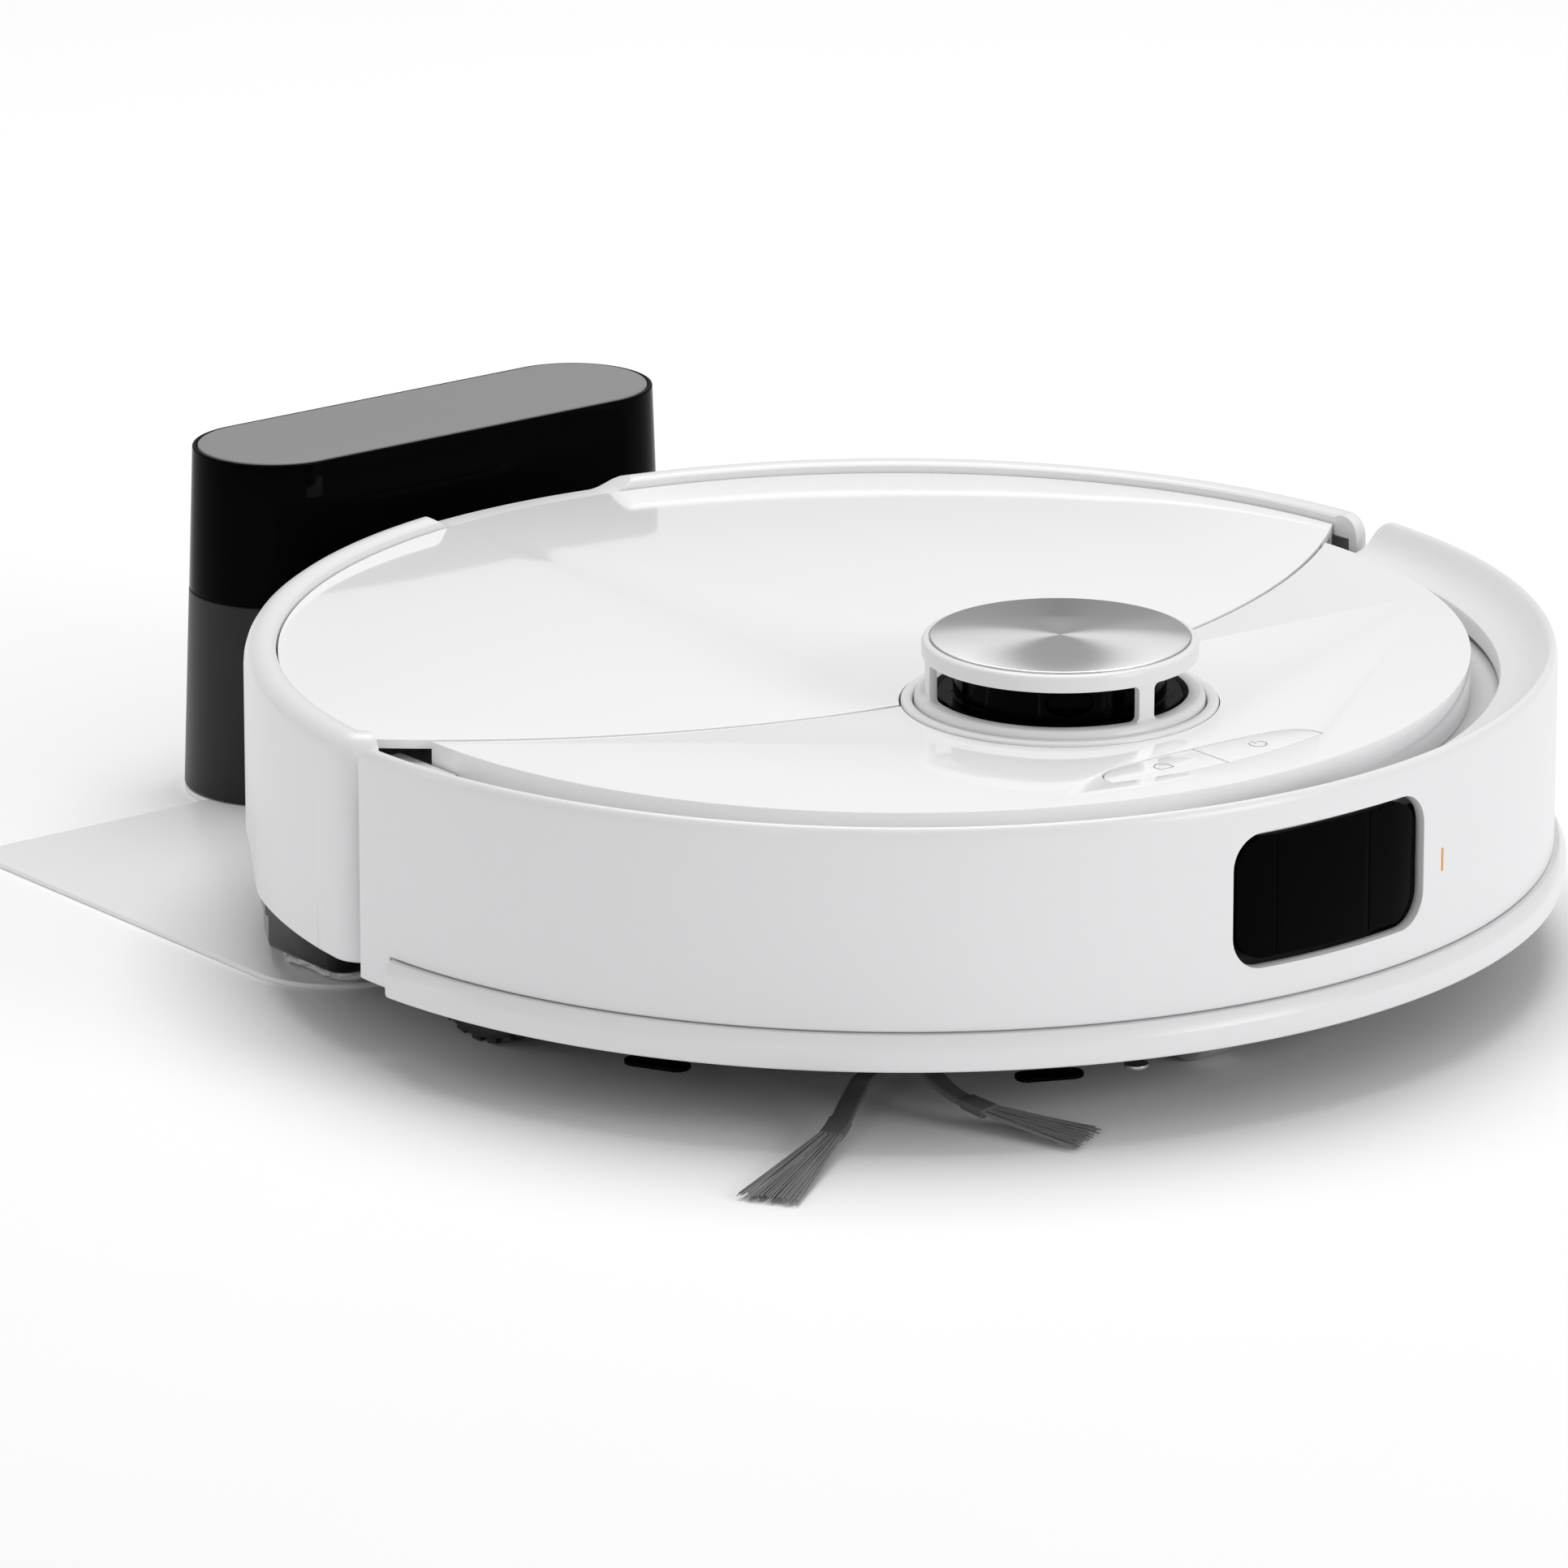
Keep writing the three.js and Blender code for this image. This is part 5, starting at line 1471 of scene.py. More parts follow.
    def build_head(self) -> None:
        """Black floor dish and drum with an oval lens recess and a lens."""
        top, bottom = high("lidar_head").z, low("lidar_head").z
        floor = high("lid").z + 2.5 * MM
        drum = 28 * MM
        profile = [
            (0.02 * MM, bottom),
            (10 * MM, bottom),
            (10 * MM, bottom + 9.5 * MM),
            (32.2 * MM, floor - 3 * MM),
            (32.2 * MM, floor - 0.3 * MM),
            (31.8 * MM, floor),
            (drum + 0.4 * MM, floor),
            (drum, floor + 0.4 * MM),
            (drum, top - 0.8 * MM),
            (drum - 0.8 * MM, top),
            (0.02 * MM, top),
        ]
        head = sweep("lidar_head_shape", profile, self.axis, steps=192)
        height = (top + floor) / 2
        out = polar(1.0, self.lens_angle)
        recess = self.oval("lens_recess", out, height, drum - 4 * MM, drum + 5 * MM, 0.3 * MM)
        carve(head, recess)
        soften(head, 0.25 * MM, 3, limit=45, smooth=30)
        install(head, "turret_head", Palette.black_gloss, "lidar_head")
        lens = self.oval("lens_shape", out, height, drum - 2.8 * MM, drum - 0.9 * MM, 0.0)
        soften(lens, 0.7 * MM, 5, limit=60, smooth=50)
        install(lens, "turret_lens", Palette.black_gloss, "lidar_lens")

    def oval(self, name: str, out: Vector, height: float, near: float, far: float, grow: float) -> Object:
        """Flattened bar that points out of the drum."""
        start, end = self.axis + UP * height + out * near, self.axis + UP * height + out * far
        bar = rod(name, 6 * MM + grow, start, end, 48)
        squeeze = (3.5 * MM + grow) / (6 * MM + grow)
        with editing(bar):
            bpy.ops.mesh.select_all(action="SELECT")
            bpy.ops.transform.resize(value=(1, 1, squeeze), center_override=start)
        return bar


# ---------------------------------------------------------------------------
# Underside: wheels, brushes and base
# ---------------------------------------------------------------------------


def prism(name: str, outline: Sequence[Vector], bottom: float, top: float) -> Object:
    """Upright solid over an outline.

    Args:
        name: The piece's name.
        outline: Corners, their heights ignored.
        bottom: Its underside's height.
        top: Its top's height.

    Returns:
        A closed solid.
    """
    obj = draw(name, [Vector((p.x, p.y, bottom)) for p in outline])
    with editing(obj):
        bpy.ops.mesh.select_all(action="SELECT")
        bpy.ops.mesh.edge_face_add()
        bpy.ops.mesh.extrude_region_move(TRANSFORM_OT_translate={"value": (0, 0, top - bottom)})
    close_up(obj)
    return obj


def arc_points(centre: Vector, radius: float, start: float, end: float, steps: int) -> list[Vector]:
    """Points of a flat arc, its angles in degrees from +X."""
    turns = [math.radians(start + (end - start) * i / steps) for i in range(steps + 1)]
    return [centre + Vector((math.cos(t), math.sin(t), 0)) * radius for t in turns]


def ribbon(name: str, path: Sequence[Vector], widths: tuple[float, float], thickness: float) -> Object:
    """Flat band extruded step by step along a path.

    Args:
        name: The piece's name.
        path: Points along the band's middle.
        widths: Its width at the start and at the end.
        thickness: Its thickness.

    Returns:
        A closed solid.
    """
    ways = [(b - a).xy.normalized() for a, b in zip(path, path[1:])]
    ways.append(ways[-1])
    across = Vector((-ways[0].y, ways[0].x, 0)) * widths[0] / 2
    rise = UP * thickness / 2
    start = path[0]
    corners = ((-1, -1), (1, -1), (1, 1), (-1, 1))
    band = draw(name, [start + across * a + rise * b for a, b in corners])
    with editing(band):
        bpy.ops.mesh.select_all(action="SELECT")
        bpy.ops.mesh.edge_face_add()
        steps = len(path) - 1
        for i in range(steps):
            bpy.ops.mesh.extrude_region_move(TRANSFORM_OT_translate={"value": path[i + 1] - path[i]})
            turn = ways[i].angle_signed(ways[i + 1])
            bpy.ops.transform.rotate(value=turn, orient_axis="Z", center_override=path[i + 1])
            width = [widths[0] + (widths[1] - widths[0]) * (i + k) / steps for k in (0, 1)]
            side = Matrix(((ways[i + 1].x, ways[i + 1].y, 0), (-ways[i + 1].y, ways[i + 1].x, 0), (0, 0, 1)))
            bpy.ops.transform.resize(
                value=(1, width[1] / width[0], 1),
                orient_matrix=side,
                orient_matrix_type="GLOBAL",
                orient_type="GLOBAL",
                center_override=path[i + 1],
            )
    close_up(band)
    return band


@dataclass
class DriveWheel:
    """One driven wheel: its lugged tyre, its hub and its sprung arm."""

    side: Side
    lugs: int = 30
    lug_height: float = 1.4 * MM

    def build(self) -> None:
        """Model the wheel's pieces."""
        node = f"tyre_{self.side.suffix}"
        lowest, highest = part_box(node)
        radius, half = (highest.z - lowest.z) / 2, (highest.x - lowest.x) / 2
        place = Matrix.Translation((lowest + highest) / 2) @ Matrix.Rotation(math.pi / 2, 4, "Y")
        floor = radius - self.lug_height
        rim = radius - 8.9 * MM
        band = [
            (rim, -half + 0.4 * MM),
            (rim + 0.6 * MM, -half),
            (floor - 2.2 * MM, -half),
            *rounded_corner(floor - 2 * MM, -half + 2 * MM, 2 * MM, -90, 0),
            *rounded_corner(floor - 2 * MM, half - 2 * MM, 2 * MM, 0, 90),
            (rim + 0.6 * MM, half),
            (rim, half - 0.4 * MM),
        ]
        tyre = sweep("tyre_shape", band, Vector(), steps=180)
        first = (floor - 0.6 * MM, -1.9 * MM, -half + 1.6 * MM)
        lug = block("lug", first, (radius - 0.05 * MM, 1.9 * MM, -0.4 * MM), 0.35 * MM)
        with editing(lug, "VERT"):
            pick(lug, "VERT", lambda p, _: p.z > -half / 2)
            bpy.ops.transform.translate(value=(0, 2.2 * MM, 0))
        mirrored = Matrix.Scale(-1, 4, UP) @ Matrix.Rotation(math.pi / self.lugs, 4, "Z")
        other = copied(lug, "lug_other", mirrored)
        with editing(other):
            bpy.ops.mesh.select_all(action="SELECT")
            bpy.ops.mesh.normals_make_consistent(inside=False)
        lugs = [lug, other]
        for i in range(1, self.lugs):
            turn = Matrix.Rotation(FULL_TURN * i / self.lugs, 4, "Z")
            lugs += [copied(lug, "lug_copy", turn), copied(other, "lug_copy", turn)]
        soften(tyre, 0, smooth=40)
        whole = fused("tyre_whole", tyre, *lugs)
        whole.matrix_world = place
        settle(whole, node + "_shape")
        install(whole, f"wheel_tread_{self.side.suffix}", Palette.tyre_rubber, node)
        rows = (
            ("wheel_hub", "wheel_rim", 0.5, Palette.grey_plastic),
            ("suspension_arm", "wheel_carrier", 0.6, Palette.black_satin),
        )
        for source, label, edge, finish in rows:
            node = f"{source}_{self.side.suffix}"
            install(refined(node, edge * MM), f"{label}_{self.side.suffix}", finish, node)


@dataclass
class Caster:
    """Front swivel wheel in its fork."""

    def build(self) -> None:
        """Model the wheel, and refine its fork and its axle."""
        lowest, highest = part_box("caster_wheel")
        radius, half = (highest.z - lowest.z) / 2, (highest.x - lowest.x) / 2
        round_edge = 2 * MM
        profile = [
            (1.8 * MM, -half),
            (radius - 4.5 * MM, -half),
            (radius - 4 * MM, -half + 0.5 * MM),
            (radius - 3.4 * MM, -half),
            *rounded_corner(radius - round_edge, -half + round_edge, round_edge, -90, 0),
            *rounded_corner(radius - round_edge, half - round_edge, round_edge, 0, 90),
            (radius - 3.4 * MM, half),
            (radius - 4 * MM, half - 0.5 * MM),
            (radius - 4.5 * MM, half),
            (1.8 * MM, half),
        ]
        wheel = sweep("caster_wheel_shape", profile, Vector(), steps=96)
        wheel.matrix_world = Matrix.Translation((lowest + highest) / 2) @ Matrix.Rotation(math.pi / 2, 4, "Y")
        settle(wheel, "caster_wheel_shape")
        soften(wheel, 0, smooth=40)
        install(wheel, "caster_roller", Palette.grey_plastic, "caster_wheel")
        install(refined("caster_fork", 0.5 * MM), "caster_yoke", Palette.black_satin, "caster_fork")
        install(refined("caster_axle", 0.3 * MM), "caster_pin", Palette.steel, "caster_axle")


@dataclass
class SideBrush:
    """Hub with two swept rubber arms that end in fans of bristles."""

    bristles: int = 70
    bristle_radii: tuple[float, float] = (0.24 * MM, 0.17 * MM)
    root_width: float = 5.6 * MM
    seed: int = 7

    @property
    def hub(self) -> Vector:
        """The hub's upright axis, on the floor."""
        place = middle("side_brush_hub")
        return Vector((place.x, place.y, 0.0))

    def arm_path(self, points: Sequence[tuple[float, float, float]]) -> list[Vector]:
        """Smooth path through an arm's way points, given in millimetres from the hub."""
        ways = [Vector(p) * MM + self.hub for p in points]
        path = []
        padded_ways = [ways[0] * 2 - ways[1], *ways, ways[-1] * 2 - ways[-2]]
        for a, b, c, d in zip(padded_ways, padded_ways[1:], padded_ways[2:], padded_ways[3:]):
            for k in range(6):
                t = k / 6
                square, cube = a * 2 - b * 5 + c * 4 - d, b * 3 - a - c * 3 + d
                path.append((b * 2 + (c - a) * t + square * t**2 + cube * t**3) / 2)
        return [*path, ways[-1]]

    def build(self) -> None:
        """Model the hub, both arms and both fans."""
        boss = refined("side_brush_hub", 0.6 * MM, 3)
        install(boss, "side_brush_boss", Palette.dark_rubber, "side_brush_hub")
        screw_head(self.hub + UP * low("side_brush_hub").z, 2.6 * MM, "side_brush_screw", "side_brush_hub")
        long = [(-5, -0.6, 12.4), (-17, -2.6, 9.8), (-24, -6.4, 7)]
        long += [(-40, -19, 4.4), (-56, -28, 2.6), (-80, -42.5, 1.4)]
        short = [(-1.4, -5, 12.4), (-3.2, -14, 10), (-2.6, -23, 7)]
        short += [(1.8, -37, 4.2), (7, -47, 2.4), (13.6, -56, 1.4)]
        self.build_arm("long", long, 15.5 * MM)
        self.build_arm("short", short, 18.0 * MM)

    def build_arm(self, name: str, points: Sequence[tuple[float, float, float]], spread: float) -> None:
        """One arm, its sleeve and its fan.

        Args:
            name: Which arm, as in its nodes' names.
            points: The arm's way points.
            spread: Width of the fan's far end.
        """
        path = self.arm_path(points)
        lengths = [(b - a).length for a, b in zip(path, path[1:])]
        total, walked, cut = sum(lengths), 0.0, 0
        while walked < total * 0.5:
            walked += lengths[cut]
            cut += 1
        band = ribbon("arm_band", path[3 : cut + 1], (5.4 * MM, 5.4 * MM), 1.7 * MM)
        sleeve = ribbon("arm_sleeve", path[cut - 3 : cut + 1], (6 * MM, 7 * MM), 2.5 * MM)
        arm = fused("arm_shape", soften(band, 0.5 * MM, 3), soften(sleeve, 0.6 * MM, 3))
        install(arm, f"side_brush_band_{name}", Palette.dark_rubber, f"side_brush_arm_{name}")
        self.build_fan(name, path[cut - 1 :], spread)

    def build_fan(self, name: str, path: Sequence[Vector], spread: float) -> None:
        """Fan of bristles that leaves a sleeve and widens to its tips."""
        chance = random.Random(self.seed)
        start, end = path[0], path[-1]
        along = (end - start).normalized()
        across = along.cross(UP).normalized()
        thick, thin = self.bristle_radii
        bristle = rod("bristle", thick, Vector(), Vector((1.0, 0, 0)), 5, end_radius=thin)
        strands = []
        for i in range(self.bristles):
            share = (i + 0.5) / self.bristles - 0.5
            root = start + across * share * self.root_width + UP * chance.uniform(-0.7, 0.7) * MM
            reach = end + across * (share * spread + chance.uniform(-0.6, 0.6) * MM)
            reach += along * chance.uniform(-2.5, 0.0) * MM
            reach.z = chance.uniform(0.7, 2.2) * MM
            way = reach - root
            turn = Vector((1, 0, 0)).rotation_difference(way).to_matrix().to_4x4()
            place = Matrix.Translation(root) @ turn @ Matrix.Scale(way.length, 4, (1, 0, 0))
            strands.append(copied(bristle, "strand", place))
        bpy.data.objects.remove(bristle)
        fan = soften(fused("fan_shape", *strands), 0, smooth=60)
        install(fan, f"side_brush_fan_{name}", Palette.bristle_grey, f"side_brush_tuft_{name}")


def screw_head(place: Vector, radius: float, name: str, node: str) -> None:
    """Cross-head screw that shows from below.

    Args:
        place: Middle of the surface that it is sunk in, which faces down.
        radius: The head's radius.
        name: The piece's name.
        node: The CAD node whose body it rides on.
    """
    head = rod("screw", radius, place - UP * 0.5 * MM, place + UP * 0.6 * MM, 32, 0.25 * MM)
    arm, width = radius * 0.62, radius * 0.17
    for size in ((arm, width), (width, arm)):
        reach = Vector((*size, 0))
        carve(head, block("slot", place - reach - UP * 1 * MM, place + reach - UP * 0.1 * MM))
    soften(head, 0, smooth=30)
    install(head, name, Palette.steel, rides_with=node)


@dataclass
class Base:
    """What shows from below besides wheels and brushes.

    Screw places are in millimetres from the robot's axis, and cliff angles in degrees from the front.
    """

    screw_places: tuple[tuple[float, float], ...] = (
        (-40, -148),
        (92, -116),
        (-110, -72),
        (110, -72),
        (-64, 2),
        (64, 2),
    )
    screw_radius: float = 3.2 * MM
    cliff_angles: tuple[float, ...] = (-62.0, -24.0, 24.0, 62.0)
    cliff_inset: float = 20 * MM

    def build(self) -> None:
        """Refine the chassis and the guard, and add screws and sensor windows."""
        install(refined("chassis_tray", 0.35 * MM), "chassis_shell", Palette.chassis_black, "chassis_tray")
        install(refined("brush_guard", 0.6 * MM, 3), "brush_frame", Palette.black_satin, "brush_guard")
        install(refined("brush_roller", 0.3 * MM), "roller_fins", Palette.dark_rubber, "brush_roller")
        install(refined("brush_end_cap", 0.4 * MM), "roller_bearing", Palette.grey_plastic, "brush_end_cap")
        floor = low("chassis_tray").z
        for index, (x, y) in enumerate(self.screw_places):
            place = CENTRE + Vector((x, y, 0)) * MM + UP * (floor - 0.05 * MM)
            screw_head(place, self.screw_radius, f"base_screw_{index + 1}", "chassis_tray")
        for index, angle in enumerate(self.cliff_angles):
            self.build_cliff_sensor(index, angle, floor)

    def build_cliff_sensor(self, index: int, angle: float, floor: float) -> None:
        """Dark oblong window that watches the floor."""
        window = block("cliff", (-9 * MM, -3.5 * MM, -0.6 * MM), (9 * MM, 3.5 * MM, 0.5 * MM))
        with editing(window, "EDGE"):
            pick(window, "EDGE", lambda _, way: abs(way.z) > 0.99)
            bpy.ops.mesh.bevel(offset=3.2 * MM, segments=8, affect="EDGES")
        place = polar(BODY_RADIUS - self.cliff_inset, angle, floor, CENTRE)
        window.matrix_world = Matrix.Translation(place) @ Matrix.Rotation(math.radians(angle), 4, "Z")
        settle(window, "cliff")
        soften(window, 0.25 * MM, 3)
        install(window, f"cliff_window_{index + 1}", Palette.black_gloss, rides_with="chassis_tray")


# ---------------------------------------------------------------------------
# Inside
# ---------------------------------------------------------------------------


@dataclass
class Internals:
    """Everything under the lid and in the walls: CAD shapes with rounded edges and their finishes.

    Chip sizes are in millimetres.
    """

    chip_sizes: tuple[tuple[float, float, float], ...] = (
        (14, 14, 1.4),
        (9, 7, 1.2),
        (5, 11, 4.0),
        (18, 5, 5.0),
        (6, 6, 1.0),
        (10, 10, 1.6),
        (4, 4, 3.0),
    )

    def finishes(self) -> dict[str, tuple[Finish, float]]:
        """Finish and edge radius of each inner node, by name."""
        rows = {
            "deck_frame": (Palette.trough_grey, 0.4),
            "sensor_module": (Palette.black_satin, 0.3),
            "main_board": (Palette.board_green, 0.15),
            "lidar_motor": (Palette.grey_plastic, 0.6),
            "brush_motor": (Palette.grey_plastic, 0.8),
            "side_brush_motor": (Palette.grey_plastic, 0.6),
            "dustbin_tub": (Palette.smoke_clear, 0.6),
            "dustbin_cover": (Palette.grey_plastic, 0.8),
            "dustbin_filter": (Palette.filter_paper, 0.3),
            "water_tank": (Palette.smoke_clear, 0.8),
            "tank_cap": (Palette.dark_rubber, 0.6),
            "battery_pack": (Palette.black_satin, 1.0),
            "blower_housing": (Palette.black_satin, 0.5),
            "blower_impeller": (Palette.plate_white, 0.2),
        }
        for side in Side:
            rows[f"lid_magnet_{side.suffix}"] = (Palette.steel, 0.3)
            rows[f"charge_pad_{side.suffix}"] = (Palette.contact_brass, 0.4)
            rows[f"bumper_switch_{side.suffix}"] = (Palette.black_satin, 0.3)
        return rows

    def build(self) -> None:
        """Refine every inner node and add the board's parts."""
        for node, (finish, radius) in self.finishes().items():
            install(refined(node, radius * MM), f"{node}_detail", finish, node)
        self.build_chips()

    def build_chips(self) -> None:
        """Chips and sockets on the main board."""
        lowest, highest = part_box("main_board")
        chips = []
        for index, size in enumerate(self.chip_sizes):
            half = Vector((size[0], size[1], 0)) * MM / 2
            x = lowest.x + (highest.x - lowest.x) * (index + 0.7) / (len(self.chip_sizes) + 0.4)
            place = Vector((x, (lowest.y + highest.y) / 2 + (-6 if index % 2 else 5) * MM, highest.z))
            first, last = place - half - UP * 0.1 * MM, place + half + UP * size[2] * MM
            chips.append(block("chip", first, last, 0.2 * MM))
        install(fused("chips", *chips), "board_chips", Palette.black_satin, rides_with="main_board")


# ---------------------------------------------------------------------------
# Mop
# ---------------------------------------------------------------------------


@dataclass
class Mop:
    """D-shaped bracket under the rear half, with a microfibre cloth and its looped fringe."""

    corner: float = 6.0 * MM
    wall: float = 3.0 * MM
    ledge: float = 0.9 * MM
    cloth_inset: float = 7.5 * MM
    loops: int = 150
    loop_radius: float = 2.6 * MM
    yarn_radius: float = 1.0 * MM
    clear_of_floor: float = 0.1 * MM
    seed: int = 11

    def outline(self, inset: float) -> list[Vector]:
        """D-shaped outline, drawn in by a margin."""
        half = high("mop_bracket").x - inset
        radius = high("mop_bracket").y - CENTRE.y - inset
        front = low("mop_bracket").y + inset
        side = math.degrees(math.acos(half / radius))
        corner = Vector((half - self.corner, front + self.corner, 0))
        other = Vector((-corner.x, corner.y, 0))
        return [
            *arc_points(corner, self.corner, -90, 0, 8),
            *arc_points(CENTRE, radius, side, 180 - side, 120),
            *arc_points(other, self.corner, 180, 270, 8),
        ]

    def build(self) -> None:
        """Model the bracket and the cloth."""
        self.build_bracket()
        self.build_cloth()

    def build_bracket(self) -> None:
        """Tray with a ledge line round its wall, and the rim that closes the gap under the shell."""
        bottom, top = low("mop_bracket").z, low("rear_shell").z - 0.3 * MM
        step = bottom + 9.5 * MM
        lower = prism("bracket_lower", self.outline(self.ledge), bottom, step + 0.5 * MM)
        with editing(lower, "FACE"):
            pick(lower, "FACE", lambda _, n: n.z < -0.99)
            bpy.ops.mesh.bevel(offset=1.6 * MM, segments=4, affect="EDGES")
        upper = prism("bracket_upper", self.outline(0.0), step, top)
        carve(lower, upper, operation="UNION")
        carve(lower, prism("bracket_inside", self.outline(self.wall), bottom + self.wall, top + 5 * MM))
        radius = high("mop_bracket").y - CENTRE.y
        inner = high("chassis_tray").x + 2 * MM
        base, crown = top - 3 * MM, high("mop_bracket").z
        rim = [(inner, base), (radius, base), (radius, crown), (inner, crown)]
        carve(lower, sweep("bracket_rim", rim, CENTRE, 118, 242), operation="UNION")
        soften(lower, 0.4 * MM, 3, limit=35, smooth=30)
        install(lower, "mop_holder", Palette.bracket_gloss, "mop_bracket")

    def build_cloth(self) -> None:
        """Soft pad with a rolled edge, and loops of yarn all round it."""
        bottom, top = low("mop_cloth").z, high("mop_cloth").z
        core, reach = middle("mop_cloth"), high("mop_cloth").x
        bpy.ops.mesh.primitive_grid_add(
            x_subdivisions=72, y_subdivisions=30, size=1.0, location=(core.x, core.y, bottom + 0.35 * MM)
        )
        cloth = bpy.context.object
        cloth.scale = (2.1 * reach, 1.05 * (high("mop_cloth").y - low("mop_cloth").y), 1.0)
        settle(cloth, "cloth_shape")
        with editing(cloth, "VERT"):
            bpy.ops.mesh.select_all(action="SELECT")
            bpy.ops.transform.vertex_random(offset=0.3 * MM, uniform=0.3, normal=0.7, seed=self.seed)
            bpy.ops.mesh.extrude_region_move(TRANSFORM_OT_translate={"value": (0, 0, top - bottom)})
            pick(cloth, "VERT", lambda p, _: p.z > (bottom + top) / 2)
            bpy.ops.transform.resize(value=(1, 1, 0), center_override=(0, 0, top))
        close_up(cloth)
        edge = prism("cloth_edge", self.outline(self.cloth_inset), bottom - 2 * MM, top + 2 * MM)
        carve(cloth, edge, operation="INTERSECT")
        soften(cloth, 0, smooth=60)
        install(cloth, "mop_pad", Palette.microfibre, "mop_cloth")
        self.build_fringe(bottom)

    def build_fringe(self, bottom: float) -> None:
        """Short loops of yarn that stand out all round the cloth."""
        chance = random.Random(self.seed)
        bpy.ops.mesh.primitive_torus_add(
            major_radius=self.loop_radius,
            minor_radius=self.yarn_radius,
            major_segments=14,
            minor_segments=6,
            location=(0, 0, 0),
        )
        loop = settle(bpy.context.object, "loop")
        edge = self.outline(self.cloth_inset + 0.8 * MM)
        closed = [*edge, edge[0]]
        lengths = [(b - a).length for a, b in zip(closed, closed[1:])]
        total = sum(lengths)
        loops = []
        for index in range(self.loops):
            target = total * (index + chance.uniform(-0.3, 0.3)) / self.loops % total
            step = 0
            while target > lengths[step]:
                target -= lengths[step]
                step += 1
            along = (closed[step + 1] - closed[step]).normalized()
            spot = closed[step] + along * target + UP * (bottom + chance.uniform(1.1, 1.9) * MM)
            yaw = math.atan2(along.y, along.x) + chance.uniform(-0.4, 0.4)
            tilt = math.radians(chance.uniform(-28, 28))
            stretch = Matrix.Diagonal((chance.uniform(0.9, 1.25), chance.uniform(0.75, 1.1), 0.95, 1.0))
            turn = Matrix.Rotation(yaw, 4, "Z") @ Matrix.Rotation(tilt, 4, "X")
            loops.append(copied(loop, "loop_copy", Matrix.Translation(spot) @ turn @ stretch))
        bpy.data.objects.remove(loop)
        fringe = soften(fused("fringe_shape", *loops), 0, smooth=70)
        floor = min(v.co.z for v in fringe.data.vertices)
        if floor < self.clear_of_floor:
            with editing(fringe, "VERT"):
                pick(fringe, "VERT", lambda p, _: p.z < self.clear_of_floor)
                bpy.ops.transform.resize(value=(1, 1, 0), center_override=(0, 0, self.clear_of_floor))
        install(fringe, "mop_fringe", Palette.microfibre, rides_with="mop_cloth")


# ---------------------------------------------------------------------------
# Dock
# ---------------------------------------------------------------------------


